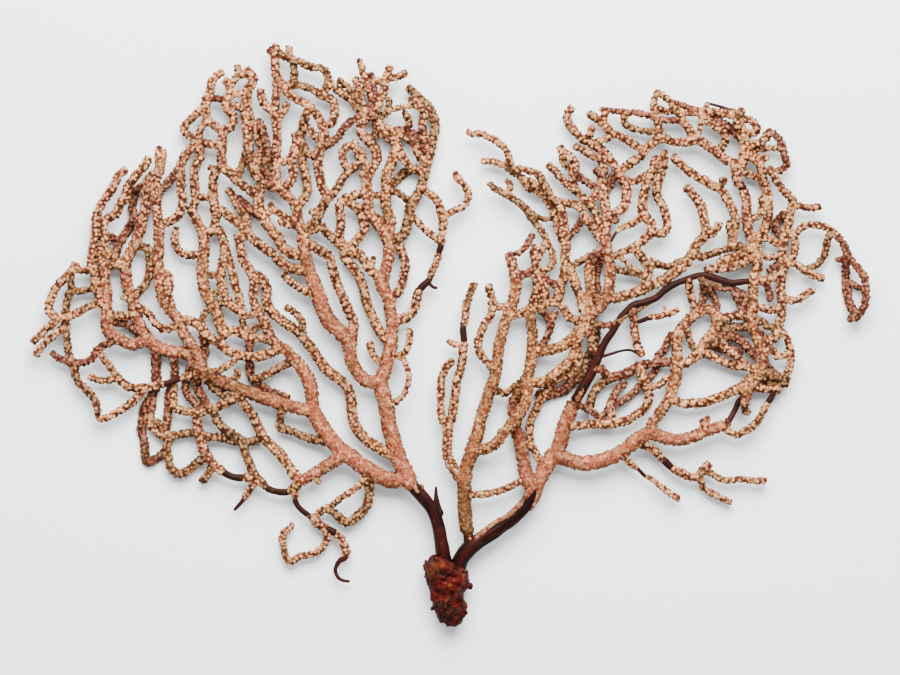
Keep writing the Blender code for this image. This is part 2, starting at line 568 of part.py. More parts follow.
# Spray at the top of the left upright limb
limb("left_centre_spray", TAN, [
    (9, (4.6, 4.6, 4.4, 4.2, 4.0, 3.8),
     "382,286 384,277 386,271 388,260 389,248 387,238 383,231 377,223 371,217 368,208 368,198 "
     "367,188 366,180 369,173 374,165 377,156 376,150 372,144 366,139 362,134 361,127 364,120 "
     "368,114"),
    (7, (4.4, 4.2, 4.0),
     "387,239 389,230 391,221 388,212 386,202 386,193 386,184 386,175 390,165 393,157 396,150 "
     "396,142 395,133 388,129 381,127 377,120"),
    (9, (3.4, 3.4, 3.0), "367,115 372,114 377,108 379,99 383,94 385,86 386,78 388,71 391,65"),
    (9, (3.6, 3.6, 3.2), "368,113 372,106 373,98 373,86 371,78 369,72"),
    (11, (2.8, 3.0), "386,78 390,77 396,78 402,75 408,72"),
    (9, (2.6, 2.6), "372,80 376,81 385,81"),
    (10, (3.2, 3.0, 2.6), "373,97 368,88 365,81 363,72 361,65 358,58"),
    (7, (3.2, 3.4, 3.2), "367,114 362,104 360,98 359,90 357,82 354,76"),
    (9, (3.2, 2.6), "366,114 359,106 356,98 351,91 344,84 337,79"),
    (7, (3.6, 3.4), "366,116 358,108 353,100 346,95 338,90 331,84 327,81"),
    (7, (3.4, 3.2), "366,116 359,118 351,121 344,128 338,136 332,142 324,147"),
    (9, (2.8, 2.6), "377,118 383,115 389,111 389,104 390,97"),
    (11, (2.0, 2.2), "388,111 397,108 405,107 413,105 419,107"),
    (6, (4.0, 4.2, 4.0, 3.8, 3.6, 3.2),
     "388,240 394,238 401,237 405,231 407,224 409,216 411,205 415,199 418,193 421,186 424,178 "
     "426,168 429,158 431,150 432,141 434,131 435,122 432,115 429,107 423,101 418,97 412,91 406,86"),
    (9, (3.6, 3.4), "431,149 428,144 424,139 422,130 423,120 423,112 418,105 411,100"),
    (5, (3.4, 3.4), "430,153 425,149 419,140 412,133 404,130 395,132"),
    (9, (3.2, 3.2), "428,162 419,157 416,150 413,144 407,138 401,133 396,133"),
    (9, (3.2, 3.2), "425,171 414,169 409,165 404,159 399,150 396,144"),
    (9, (2.9, 2.9), "403,131 409,125 408,119 404,113"),
    (9, (3.0, 3.0), "396,146 394,144 389,139 383,134 380,127"),
    (2.0, (3.8, 3.6), "386,191 392,183 397,178 404,172 412,168 420,171 425,174"),
    (9, (2.9, 2.9), "386,192 397,192 402,195 408,200 412,205"),
    (9, (2.9, 2.9), "368,196 376,195 386,197"),
    (9, (2.8, 2.8), "409,216 415,219 421,226 428,232 435,237 441,243"),
    (7, (3.2, 3.0), "366,180 363,174 366,166 363,160 358,156"),
    (5.0, (2.7, 2.6, 2.7), "372,217 378,217 383,220 389,227"),
    (5.0, (3.2, 3.2, 3.0), "374,112 375,120 377,128 375,134 370,138 364,137"),
])

# Right stem, bare axis
limb("right_stem", BARE, [
    (9, (7.2, 6.8, 6.8, 6.6, 6.4),
     "456,576 459,564 463,556 470,548 479,541 490,534 500,527 510,520 519,512 527,503 532,494 "
     "536,486"),
])

# Right upright limb, from the middle of the right stem
limb("right_upright_limb", TAN, [
    (9, (6.2, 6.0, 5.6, 5.0, 4.8, 4.6),
     "469,548 467,533 465,515 464,498 465,481 466,469 470,458 473,446 477,435 480,421 484,410 "
     "487,400 489,392 494,380 496,368 498,355 500,342 503,330 506,318"),
    (9, (4.4, 5.0, 4.6, 3.8), "506,319 511,308 514,298 517,285 515,275 514,269 511,260 508,252"),
    (9, (4.8, 4.2, 3.8), "464,483 459,476 453,468 448,458 447,446 448,434 448,426"),
    (9, (3.2, 3.2), "448,427 443,421 441,410 441,400 441,392 441,382 444,373 448,365 455,360"),
    (9, (3.6, 3.6, 3.4, 2.9, 3.2),
     "448,427 451,420 453,409 455,398 456,386 459,374 462,362 463,351 464,341 463,328 465,316 "
     "466,305 470,294 475,282"),
    (9, (2.2, 2.0), "462,345 453,344 447,340"),
    (9, (3.2, 3.2, 3.4),
     "495,370 491,366 484,359 479,351 478,341 481,332 486,322 491,313 492,303 491,294 488,283"),
    (9, (2.9, 2.9), "492,303 501,307 510,307"),
    (9, (1.4, 2.0, 2.4, 2.2), "510,254 514,254 521,252 525,247 530,240 533,233"),
    (8, (2.8, 2.8), "465,495 473,495 482,495 491,493 501,491 510,487 518,483 525,478"),
    (12, (4.6, 4.8, 4.8),
     "471,452 476,451 484,449 493,445 502,436 510,426 518,416 524,406 527,397 527,387 528,378"),
    (9, (4.8, 4.6, 4.4), "527,386 528,378 530,368 532,356 532,344 532,333 531,323 530,312"),
    (8, (3.0, 3.2), "490,389 497,391 505,393 512,390 519,384 527,377"),
    (8, (3.6, 3.4, 3.4), "507,315 514,315 521,313 530,310 538,308 544,304 551,302 557,303"),
    (9, (3.8, 3.6), "531,311 533,302 536,292 537,283 534,274"),
    (10, (3.8, 3.6), "545,304 545,297 544,287 540,280"),
    (7, (3.2, 3.2), "519,276 526,274 533,271 539,274 546,279 553,284 562,287"),
    (9, (3.0, 3.0), "536,273 535,262 540,254 544,247 547,240"),
    (9, (2.6, 2.6), "535,262 533,254 534,246"),
    (7, (2.7, 2.7), "536,271 544,271 552,266 553,257 551,249 547,242"),
    (6, (3.2, 3.2), "538,308 546,314 551,321 550,330 546,339 540,349"),
    (6.0, (3.0, 3.0, 2.4), "551,321 555,316 556,310"),
])

# Middle limb, from the top of the right stem
limb("right_middle_limb", RED, [
    (6, (5.6, 5.4, 5.0, 4.6),
     "531,485 526,474 524,463 522,452 519,440 516,430 514,417 513,406 516,398 522,391 528,384"),
])

# Right bough, from the top of the right stem, mostly bare
limb("right_bough", BARE, [
    (9, (6.4, 6.6, 6.4, 6.0),
     "536,486 540,478 547,465 553,455 559,446 562,436 565,425 569,414 573,405"),
    (9, (5.4, 5.0, 4.8, 4.8, 5.2, 4.8, 4.2, 4.2, 4.4),
     "573,405 576,400 583,388 590,376 596,363 600,353 606,341 613,331 620,319 625,313 634,305 "
     "645,302 656,298 664,291 673,285 685,280 693,277 702,275 712,277 721,280 731,283 740,282 "
     "750,281 757,281"),
    (9, (2.6, 2.6), "620,321 610,325 602,325 596,322"),
    (7, (3.2, 3.6, 3.4), "632,309 634,318 635,326 636,336 638,346 641,353 643,357"),
    (8, (1.6, 1.3, 1.1), "599,358 604,356 611,354 621,351 629,350 635,352 641,356"),
    (9, (1.8, 2.4, 2.6, 2.2), "634,323 641,321 649,318 656,317 664,315 671,314 679,309"),
    (9, (1.8, 1.4), "669,314 667,310 663,307"),
    (6, (3.6, 4.0, 3.8, 3.6),
     "593,369 601,369 608,376 616,377 625,374 634,369 643,365 652,364 661,363 671,362 678,361"),
    (6, (3.6, 3.6), "611,378 604,382 597,388 593,395 591,403 590,410"),
    (6, (2.2, 2.9, 3.2, 3.0),
     "575,402 581,406 589,410 596,415 601,418 607,411 611,403 614,396 618,389 624,385 628,386"),
    (7, (3.6, 3.6, 3.6, 3.4),
     "641,366 641,372 643,379 646,386 649,395 648,404 643,411 636,416 626,421 614,424 603,424 "
     "591,424 582,425 573,426 566,424"),
    (6, (2.7, 2.7), "611,403 612,411 612,424"),
    (7, (2.9, 2.9), "648,388 657,386 664,381 669,375"),
    (4, (2.8, 2.8, 3.0),
     "675,334 671,335 667,343 664,351 658,357 657,369 651,376 643,384 636,391 628,398 621,402 "
     "613,405"),
    (7, (3.4, 3.4), "688,280 690,289 692,297 694,305 695,313"),
    (5, (3.2, 3.0), "702,276 704,290 703,301 699,311"),
    (8, (2.0, 2.6, 3.4, 3.6), "700,277 711,284 723,288 735,290 743,295 746,303 746,311 746,320"),
])

# Horizontal limb, from the right bough
limb("right_horizontal_limb", PINK, [
    (9, (5.6, 6.4, 6.2, 6.0),
     "552,457 560,457 571,461 583,463 595,462 606,459 618,454 627,448 635,441 643,436 651,431"),
    (9, (5.4, 5.2, 4.6),
     "645,435 652,433 659,436 670,439 680,440 689,438 698,434 708,430 717,428 727,424"),
    (9, (3.0, 2.6), "706,430 704,424 702,418"),
    (9, (2.4, 2.2), "704,424 708,418"),
    (7, (3.8, 3.4, 3.2, 3.4, 3.4),
     "636,441 643,444 651,448 659,454 665,461 671,467 677,471 685,475 693,478 700,475 704,469 "
     "709,465 711,463"),
    (6, (2.7, 2.6), "704,470 709,472 716,476 725,480 733,480 740,479 750,480 760,481 768,481"),
    (5, (2.4, 2.7), "699,476 701,481 705,489 712,493 721,498 727,501 733,503"),
    (7, (3.0, 1.6, 2.2, 2.6),
     "624,451 626,459 632,465 638,469 645,476 650,478 658,484 666,490 674,496 681,500"),
])

# Inner spray beside the right bough
limb("right_inner_spray", TAN, [
    (10, (4.4, 4.6, 4.4), "536,351 543,351 551,350 559,348 567,343 574,338 580,330 584,322"),
    (9, (4.2, 4.4, 4.2),
     "583,325 579,337 577,348 573,357 568,364 560,370 551,378 544,382 536,383 529,384"),
    (6, (3.8, 3.6, 3.2, 3.2),
     "577,350 578,360 577,368 571,375 561,378 553,382 549,388 545,394 540,401 536,410 532,418 "
     "530,428 530,437 531,446 536,454 541,461 546,467"),
    (3, (4.2, 4.0), "575,371 576,379 570,384 565,390 555,393 544,396 536,391"),
    (11, (3.4, 3.2), "585,323 590,333 593,342 594,352"),
    (4, (3.8, 3.6), "586,321 595,328 596,342 591,352 587,362 582,372 576,379"),
    (9, (4.6, 3.8, 3.8), "584,323 587,315 583,308 581,300 578,290 574,278 570,270 565,264"),
    (9, (4.6, 4.4, 4.3), "586,318 589,307 590,298 590,286 590,275 589,266"),
    (9, (4.2, 3.8, 3.0), "589,266 592,260 597,255 602,251 607,248"),
    (6.0, (2.6, 2.7, 2.8), "569,268 577,263 584,259 591,255 600,251"),
    (6.5, (3.6, 3.4, 3.1, 3.0), "583,322 576,320 570,318 566,312 562,306 556,303"),
    (6.5, (3.8, 3.6), "583,322 590,317 597,309"),
])

# Tall branch above the right bough
limb("right_tall_branch", PINK, [
    (9, (4.8, 4.6, 4.8, 4.4, 4.2, 3.8, 3.8, 3.6),
     "587,318 597,309 603,303 606,297 609,291 610,280 610,268 609,259 607,248 605,238 605,228 "
     "606,217 606,207 604,200 603,190 602,181 603,172 603,163 600,152"),
    (8, (3.4, 3.4, 3.2, 3.0),
     "606,234 601,225 598,217 594,209 589,202 582,196 575,190 570,186 563,181 558,174 552,168 "
     "547,163"),
    (10, (3.6, 3.8, 3.2), "574,189 573,180 574,172 576,164 570,157 563,152 559,145"),
    (8, (2.7, 2.7), "563,152 562,159 567,166 574,170"),
    (8, (2.9, 2.9), "575,174 580,177 588,183 595,186 603,187"),
    (9, (3.2, 3.2), "603,190 598,191 594,197 589,203"),
    (7, (3.8, 3.8, 3.8, 3.6, 3.6, 3.4, 3.2),
     "606,216 615,214 622,209 626,204 627,195 626,184 622,178 618,171 613,164 608,156 603,151 "
     "596,146 588,141 582,138 576,132 570,125 567,118 568,112 574,106"),
    (5, (3.4, 3.4), "618,172 612,178 610,185 606,192 604,200"),
    (9, (2.8, 2.8), "603,176 598,172 594,168"),
    (8, (2.8, 2.8), "607,218 613,220 620,221"),
    (9, (2.9, 2.9), "585,140 590,135 592,130 590,125"),
    (9, (2.9, 2.9), "594,145 600,141 606,139 611,138"),
    (9, (2.9, 2.9), "603,160 593,156 588,153 581,149 573,145"),
    (8, (3.6, 3.6, 3.4), "619,172 622,169 629,164 635,160 642,154 646,148 652,143 660,138"),
    (4, (3.4, 3.6), "606,250 600,258 598,266 596,276 597,288 599,303"),
])

# Arched branch, from the tall branch
limb("right_arched_branch", TAN, [
    (9, (4.2, 4.2, 4.2, 4.2, 4.0, 4.0, 3.8, 3.6),
     "606,298 615,298 625,295 634,293 641,290 649,286 656,283 664,280 671,275 679,270 686,264 "
     "690,258 694,251 697,244 703,238 707,232 706,226 704,216 702,207 697,199 690,191 685,185"),
    (9, (3.2, 3.2), "706,234 712,234 717,229 720,221"),
    (8, (2.8, 2.8), "610,270 620,270 629,272 637,273 647,277"),
    (9, (3.6, 3.4), "646,287 647,280 649,271 652,264 655,258"),
    (8, (2.8, 2.8), "653,262 660,265 668,266 676,264 684,260 691,257"),
    (9, (3.4, 3.6, 3.6, 3.8, 3.8, 3.6),
     "649,270 643,258 638,252 635,248 640,243 646,238 651,233 652,227 651,222 646,216 643,210 "
     "643,201 645,193 646,184 650,176 653,168 656,160 659,155"),
    (8, (3.2, 3.0), "635,248 627,250 620,254 609,258"),
    (7, (1.8, 1.8), "619,254 625,261 631,266 640,273"),
    (8, (2.8, 2.8, 1.6, 1.4), "645,214 640,218 634,222 627,226 621,229 616,233 611,241 606,246"),
    (8, (3.0, 3.6, 3.6, 3.6),
     "652,231 657,233 662,234 667,229 667,220 665,211 661,203 657,195 657,186 659,178 662,170 "
     "664,162 665,153"),
    (8, (2.8, 2.8), "650,174 641,178 635,181 629,181 622,178"),
])

# Spray between the two crowns
limb("right_top_spray", TAN, [
    (9, (4.2, 4.2, 4.2, 4.0, 3.6, 3.0, 2.8),
     "556,303 559,296 561,285 565,276 565,266 565,254 566,243 565,232 563,221 562,210 558,204 "
     "552,198 547,190 543,182 539,175 530,171 521,169 513,171"),
    (7, (3.8, 3.6, 3.4, 3.0, 2.6, 2.4),
     "565,243 560,232 557,222 554,214 551,206 546,199 541,193 535,190 529,188 525,183 521,177 "
     "514,172 508,168 505,166 499,164 490,161 481,161"),
    (9, (2.8, 2.8, 2.6), "513,171 510,162 508,153 502,146 496,141 489,137 480,134 472,134 466,130"),
    (9, (1.4, 2.6, 2.8, 2.6),
     "556,219 550,219 540,218 532,213 525,208 519,203 511,197 504,193 496,189 488,182"),
    (7, (2.7, 2.7), "525,208 530,216 537,225 543,233 548,241"),
    (9, (2.2, 2.0), "507,194 510,190 510,184 505,180"),
    (9, (2.6, 2.6), "523,180 531,181 537,187 542,194"),
    (9, (3.2, 3.2, 3.6), "556,202 568,203 577,205 583,212"),
    (9, (3.6, 3.6, 3.4), "606,242 600,238 595,231 590,224 584,215 583,211"),
    (6, (2.8, 2.8), "584,216 580,223 576,229 571,234 565,238"),
])

# Right crown
limb("right_crown", TAN, [
    (9, (3.6, 3.4, 3.6, 3.8, 4.2),
     "658,139 666,138 672,141 680,142 688,142 696,140 704,143 712,148 719,154 726,160 734,163 "
     "737,168"),
    (7, (3.2, 3.2), "645,150 639,147 632,143 625,139 615,134 608,128 602,122 595,117 587,112"),
    (8, (2.6, 2.6), "605,126 604,118 606,111"),
    (9, (3.0, 3.0, 2.6), "659,139 660,131 658,124 657,115 653,107 655,98 658,91"),
    (9, (2.6, 2.6, 2.4),
     "684,121 673,120 664,120 655,118 647,115 638,113 629,113 620,112 611,111 601,109"),
    (7, (2.8, 2.8), "660,130 651,131 643,131 635,129 628,126 623,120 627,113"),
    (10, (2.6, 2.8), "658,92 664,96 670,101 675,108 680,114 684,121"),
    (9, (3.4, 3.4), "697,141 692,135 688,128 684,121"),
    (8, (2.4, 2.2), "671,102 681,105 688,108 696,109 702,112"),
    (7, (2.4, 2.4), "679,113 685,112 693,113 702,113"),
    (7, (2.4, 2.4), "660,108 666,112 672,110 679,113"),
    (8, (4.0, 3.8, 3.4), "744,142 739,135 732,129 725,124 718,120 709,117 701,113"),
    (11, (3.2, 3.2), "702,114 706,120 713,124 720,129 726,135 727,140 723,145 719,152"),
    (11, (3.2, 3.2), "702,112 707,110 714,112 723,113 732,115 740,119"),
    (10, (2.2, 2.0), "702,113 702,119 701,126 699,132 697,140"),
    (9, (2.0, 1.5, 1.3), "741,114 730,110 722,107 715,105 708,103"),
    (9, (1.8, 1.8), "708,103 706,107 702,111"),
    (9, (4.2, 4.2, 3.8), "739,167 743,163 744,154 745,145 744,135 741,128 736,122"),
    (9, (3.0, 3.0), "741,127 740,118 742,110"),
    (9, (3.0, 3.2, 3.0), "741,119 748,119 753,122 757,127 755,132 749,134 744,136"),
    (8, (4.2, 4.0, 4.2, 4.2),
     "735,163 736,172 738,181 743,188 746,196 747,205 747,214 747,224 749,232 753,241"),
    (10, (3.4, 3.4), "745,146 752,145 760,143 766,138 768,131"),
    (8, (3.2, 3.0, 3.0), "768,132 774,134 780,140 783,147 785,155 787,163 783,169 776,172 770,170"),
    (7, (2.6, 2.4), "746,152 752,151 761,149 770,148 783,148"),
    (9, (3.0, 3.0), "745,158 753,157 762,158 769,156"),
    (8, (3.4, 4.0, 4.0, 4.0),
     "754,158 762,168 763,179 766,188 768,198 768,208 768,216 767,224 763,232 757,240"),
    (7, (3.0, 3.0), "740,169 750,175 757,177 763,179"),
    (9, (2.8, 2.8), "767,196 762,199 762,207 759,215 751,219"),
])

# Spray along the right edge
limb("right_outer_spray", TAN, [
    (9, (4.0, 4.2, 4.4, 4.4, 4.6, 4.8, 4.8, 4.4),
     "752,238 757,243 758,248 757,259 757,271 754,280 753,290 753,301 752,310 751,319 754,330 "
     "758,339 761,348 763,357 762,367 759,375 753,382 748,389 746,397 744,406"),
    (8, (2.6, 2.6), "744,405 746,411 751,414"),
    (7, (3.6, 3.8, 3.8, 3.6),
     "762,347 767,342 774,338 778,332 780,323 782,313 781,308 783,300 781,291 782,282 783,273 "
     "785,264 783,255 785,244 785,234 788,228 790,216 792,208"),
    (9, (3.4, 3.2), "791,210 794,204 791,197 785,191 780,184 774,176 772,169 768,170"),
    (8, (2.8, 2.7), "793,205 804,207 812,208 822,206"),
    (9, (3.2, 3.2), "787,229 792,235 795,243 795,251 791,259 785,264"),
    (9, (2.8, 2.8, 3.0, 3.0, 3.2, 3.2, 3.0),
     "791,234 796,233 801,228 807,225 815,225 825,227 832,231 839,237 844,245 848,255 854,263 "
     "860,270 865,278 866,288 866,299 862,310 855,318 847,318"),
    (2.0, (3.0, 3.6, 3.8), "847,252 847,260 847,271 847,282 849,294 851,305 856,315"),
    (4, (2.4, 2.4), "848,281 856,285 865,291"),
    (6, (2.4, 2.4), "847,260 842,259 835,259"),
    (6, (2.8, 2.8), "832,232 828,239 827,247 825,256 820,262 812,267 806,269"),
    (8, (2.9, 2.9), "785,263 791,263 797,264 804,270 812,274 821,278 826,277"),
    (8, (2.9, 2.9), "782,298 788,299 796,301 804,296 811,291 816,292"),
    (2.2, (3.6, 3.6), "790,215 783,215 779,221 776,224 778,232 785,236"),
    (8, (2.7, 2.7), "758,240 766,238 774,242 784,246"),
    (8, (2.6, 2.6), "757,256 762,256 769,258 777,257 784,258"),
    (5, (2.9, 2.9), "784,262 775,267 768,273"),
    (9, (3.2, 3.2), "783,272 778,273 772,279 765,281 756,281"),
    (6, (2.8, 2.6), "766,281 768,287 770,294 771,302"),
    (9, (3.0, 3.0), "752,307 761,308 771,310 782,309"),
    (8, (3.8, 4.2, 4.0), "757,246 748,251 740,255 729,259 717,264"),
    (11, (3.2, 3.4), "757,257 748,260 740,264 730,267 717,269 707,269"),
    (9, (3.2, 3.2), "748,250 740,245 732,247 723,250 711,254 703,257 693,254"),
    (8, (3.8, 3.6, 3.6, 3.4),
     "733,247 733,239 735,229 737,221 734,213 731,206 727,198 724,192 719,188 711,185 704,180 "
     "696,176 688,170 680,163 672,155"),
    (10, (3.4, 3.2), "733,240 731,232 730,224"),
    (9, (3.0, 3.2), "720,188 723,182 723,176"),
    (7, (3.0, 2.8), "745,396 739,402 736,409 731,418 727,424"),
    (8, (2.9, 3.2, 3.2, 2.8),
     "774,389 773,395 769,402 764,410 760,419 753,426 746,431 738,435 731,433 725,426"),
    (7, (3.2, 3.2), "750,387 757,388 765,389 774,389 782,391"),
    (9, (3.4, 3.2), "762,368 770,375 779,377 787,379 785,385"),
    (5, (3.0, 3.0), "759,377 770,382 780,384 785,384"),
    (9, (3.0, 3.0, 3.0), "779,331 783,333 788,339 790,348 791,358 790,366 787,374 782,378"),
    (9, (2.8, 2.8), "763,352 770,349 774,351 779,358 785,355 791,352"),
    (8, (3.2, 3.2), "752,318 763,322 771,327 779,328"),
    (5.0, (2.8, 2.8), "757,335 762,335 768,341"),
    (4.5, (2.8, 2.8), "764,361 768,366 772,370 776,375"),
])

# Net of twigs at the lower right
limb("right_side_spray", TAN, [
    (8, (4.0, 4.4, 4.6, 4.6, 4.4, 4.2),
     "650,432 652,423 656,419 661,411 667,402 671,396 672,388 676,380 677,369 678,359 677,348 "
     "677,338 681,329 687,321 695,315 704,310"),
    (8, (4.2, 4.4, 4.2, 3.4),
     "703,310 709,309 715,313 718,321 714,332 708,339 702,346 700,353 692,359 684,364 678,366"),
    (7, (2.8, 2.8), "683,325 688,332 691,343 696,349 701,353"),
    (7, (3.4, 3.4), "701,354 707,354 715,358 724,361 734,365 746,366 758,371"),
    (9, (2.8, 2.8), "714,334 722,343 729,351 737,357 745,364"),
    (4, (3.4, 3.2), "704,344 714,346 724,350 733,350 741,352"),
    (7, (3.6, 3.8, 3.6),
     "670,398 676,401 683,404 690,404 701,403 711,400 723,396 732,392 739,390 746,386 754,380"),
    (9, (4.0, 3.8), "717,316 722,318 730,317 738,315 746,316 752,318"),
    (6, (3.8, 3.6), "717,325 724,328 735,327 746,326 753,327"),
    (7, (3.6, 3.8), "714,333 724,335 735,337 744,342 750,349 757,356 763,360"),
    (9, (3.4, 3.6), "735,291 738,300 743,309 747,318"),
    (10, (3.2, 3.0), "706,341 713,344 718,341 726,338"),
    (5.0, (3.0, 3.0, 2.8), "715,312 717,306 715,299 710,290 707,284"),
    (6.5, (3.5, 3.6, 3.3), "735,391 744,385 751,378 758,372"),
])

# Each limb is the union of its strands, cut clear of the limbs that it meets
for name, (colour, own) in limbs.items():
    pieces = []
    for strand in own:
        piece = strand_tube(strand)
        winners = [other for other in strands if other["limb"] != name and wins(strand, other)]
        cutters = [strand_tube(other, GAP) for other in winners if other["limb"] != "holdfast"]
        if name in ("left_stem", "right_stem"):
            cutters.append(holdfast_body(GAP))
        if cutters and name != "holdfast":
            boolean(piece, "DIFFERENCE", cutters)
        pieces.append(piece)
    if name == "holdfast":
        pieces.insert(0, holdfast_body())
    if len(pieces) > 1:
        boolean(pieces[0], "UNION", pieces[1:])
    finish(name, pieces[0], colour)
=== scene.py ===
import bpy
import numpy as np
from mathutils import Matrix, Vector
from mathutils.kdtree import KDTree


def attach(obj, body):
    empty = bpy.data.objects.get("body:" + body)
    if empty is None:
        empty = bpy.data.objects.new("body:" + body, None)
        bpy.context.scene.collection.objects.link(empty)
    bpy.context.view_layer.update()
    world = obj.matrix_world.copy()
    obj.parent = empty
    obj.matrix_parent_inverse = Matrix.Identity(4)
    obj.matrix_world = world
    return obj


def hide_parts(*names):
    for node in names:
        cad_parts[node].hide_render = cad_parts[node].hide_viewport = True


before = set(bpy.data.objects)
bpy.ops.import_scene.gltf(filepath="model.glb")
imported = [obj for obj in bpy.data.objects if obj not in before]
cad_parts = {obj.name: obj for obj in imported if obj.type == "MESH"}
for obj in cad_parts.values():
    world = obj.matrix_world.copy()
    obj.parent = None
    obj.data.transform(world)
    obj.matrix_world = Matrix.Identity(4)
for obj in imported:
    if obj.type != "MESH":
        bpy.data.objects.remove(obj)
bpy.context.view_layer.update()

# The view: a pale table of matt paper seen from straight above, as in the photograph. A wide
# soft box hangs over its far side and a weaker one to the left of that, so that the shadows
# are faint and fall towards the holdfast.
MM = 0.001  # metres
MM_PER_PIXEL = 0.45  # how much of the fan one pixel of the photograph covers
ORIGIN_PX = (449.03, 334.31)  # where the middle of the fan lies in the photograph
PICTURE_PX = (900, 675)
CAMERA_HEIGHT = 2.2  # metres over the table
BRANCH_HEIGHT = 0.009  # metres, the level at which the scale is exact
SENSOR = 36.0
TABLE_SIZE = 6
TABLE_COLOUR = (0.86, 0.875, 0.87)
TABLE_ROUGHNESS = 0.9
TABLE_GLOSS = 0.1
ROOM_COLOUR = (0.93, 0.96, 1.0)
ROOM_STRENGTH = 1.0

camera = bpy.data.objects.new("camera", bpy.data.cameras.new("camera"))
bpy.context.scene.collection.objects.link(camera)
bpy.context.scene.camera = camera
seen_width = PICTURE_PX[0] * MM_PER_PIXEL * MM
camera.data.sensor_width = SENSOR
camera.data.lens = SENSOR * (CAMERA_HEIGHT - BRANCH_HEIGHT) / seen_width
camera.location = ((PICTURE_PX[0] / 2 - ORIGIN_PX[0]) * MM_PER_PIXEL * MM,
                   (ORIGIN_PX[1] - PICTURE_PX[1] / 2) * MM_PER_PIXEL * MM, CAMERA_HEIGHT)


def soft_light(name, size, watts, place):
    """A square soft box at a place, turned towards the middle of the fan."""
    lamp = bpy.data.objects.new(name, bpy.data.lights.new(name, "AREA"))
    lamp.data.size = size
    lamp.data.energy = watts
    lamp.location = place
    lamp.rotation_euler = (-Vector(place)).to_track_quat("-Z", "Y").to_euler()
    bpy.context.scene.collection.objects.link(lamp)


def new_surface(name, gloss):
    """A new surface with the same gloss all over: its material, its nodes and its shader."""
    made = bpy.data.materials.new(name)
    made.use_nodes = True
    shader = made.node_tree.nodes["Principled BSDF"]
    shader.inputs["Specular IOR Level"].default_value = gloss
    return made, made.node_tree, shader


soft_light("overhead_box", 0.9, 66, (0.12, 0.78, 0.84))
soft_light("far_box", 0.5, 9, (-0.6, 0.8, 0.9))
world = bpy.data.worlds.new("room")
bpy.context.scene.world = world
world.use_nodes = True
world.node_tree.nodes["Background"].inputs["Color"].default_value = (*ROOM_COLOUR, 1)
world.node_tree.nodes["Background"].inputs["Strength"].default_value = ROOM_STRENGTH

bpy.ops.mesh.primitive_plane_add(size=TABLE_SIZE)
table = bpy.context.object
table.name = "table"
paper, _, shader = new_surface("table", TABLE_GLOSS)
shader.inputs["Base Color"].default_value = (*TABLE_COLOUR, 1)
shader.inputs["Roughness"].default_value = TABLE_ROUGHNESS
table.data.materials.append(paper)

# Holdfast: the rough foot that the living fan held on to the rock with. It is the horny axis
# spread out and crusted with old lime coat, with short spurs at its sides, broken off flat at
# its lower end. Both stems grow out of its top.
SETTLE = 1.4  # mm that every strand is let down, so that the lowest ones touch the table
STEP = 0.9  # mm between the points of a traced strand
JOIN_REACH = 3.15  # mm within which the end of a strand has grown on to another one
JOIN_RAMP = 13.5  # mm over which it bends to the height of that one
OTHER_LIMB = 0.9  # mm by which a strand of another limb counts as farther off
GRAIN = 0.42  # mm between the points of a fused skin
SMOOTHINGS = 2  # times that a fused skin is smoothed
SMOOTHING = 0.5  # share of the way to the middle of its neighbours that a point moves
FOOT_HEIGHT = 9.0  # mm of its middle over the table, before it is let down
FOOT_FLATNESS = 0.8  # its thickness as a share of its width
FOOT_EDGE = 0.35  # mm that the crust adds at its edges
FOOT_ROWS = [  # row of the photograph, left edge and right edge
    (562, 430, 467), (567, 423, 470), (575, 424, 470), (585, 426, 470), (593, 430, 466),
    (600, 432, 466), (606, 433, 468), (612, 434, 466), (618, 435, 461), (624, 436, 457),
]
FOOT_SPURS = [  # height, widths in mm and route in the photograph
    (9, (5.0, 1.2), "446,598 438,604 431,610"),
    (11, (5.0, 1.4), "452,598 461,606 467,613"),
    (8, (5.0, 2.0), "450,580 462,585 472,588"),
    (6, (4.0, 1.6), "446,572 434,568 424,562"),
]
KNOB_ENDS = [(435, 575), (435, 561)]  # the lump on its left shoulder
KNOB_HEIGHT = 2.2  # mm over the middle of the foot
KNOB_RADII = (0.8, 2.9, 3.7, 3.9, 3.7, 2.9, 0.8)
OLD_LIME, BLOOD, YELLOW, BURNT = range(4)
CRUST_SPOTS = [  # place in the photograph, reach in pixels, and colour
    (435, 568, 6, OLD_LIME), (436, 572, 2.4, BURNT), (430, 574, 4, OLD_LIME),
    (441, 563, 4, OLD_LIME), (464, 569, 3, OLD_LIME), (438, 595, 5, BLOOD),
    (452, 583, 6, BLOOD), (462, 575, 5, BLOOD), (456, 604, 4, BLOOD), (440, 583, 4, BLOOD),
    (463, 575, 1.8, YELLOW), (450, 585, 1.9, YELLOW), (446, 600, 1.3, YELLOW),
    (445, 617, 9, BURNT), (455, 613, 6, BURNT), (460, 593, 4, BURNT), (433, 586, 4, BURNT),
]
SPOTS_FROM = 4  # mm over the table, under which the crust has no spots
CRUST_LUMP, CRUST_LUMP_SIZE = 1.15, 4.2  # mm high and across
CRUST_FLAKE, CRUST_FLAKE_SIZE = 0.65, 1.7
CRUST_GRIT, CRUST_GRIT_SIZE = 0.30, 0.8
CRACK_DEPTH, CRACK_SIZE = 0.55, 2.4  # mm deep and from one crack to the next
CRACK_SLANT = (1, 0.55, 1)  # the cracks are drawn out along the foot
CRACK = 0.16  # how wide the cracks between the flakes of the crust are
CRACK_SHADE = 0.18  # how wide the dark along them is
SPOT_RAGGED, SPOT_RAGGED_SIZE = 0.35, 2.0
CRUST_GLOSS = 0.04
# painted shade in the cracks of the crust
CRACK_SHADE_COLOUR = (0.006, 0.002, 0.0015)
FLAKE_COLOUR = (0.060, 0.0045, 0.0035)
SMEAR_WARM = (0.080, 0.016, 0.006)
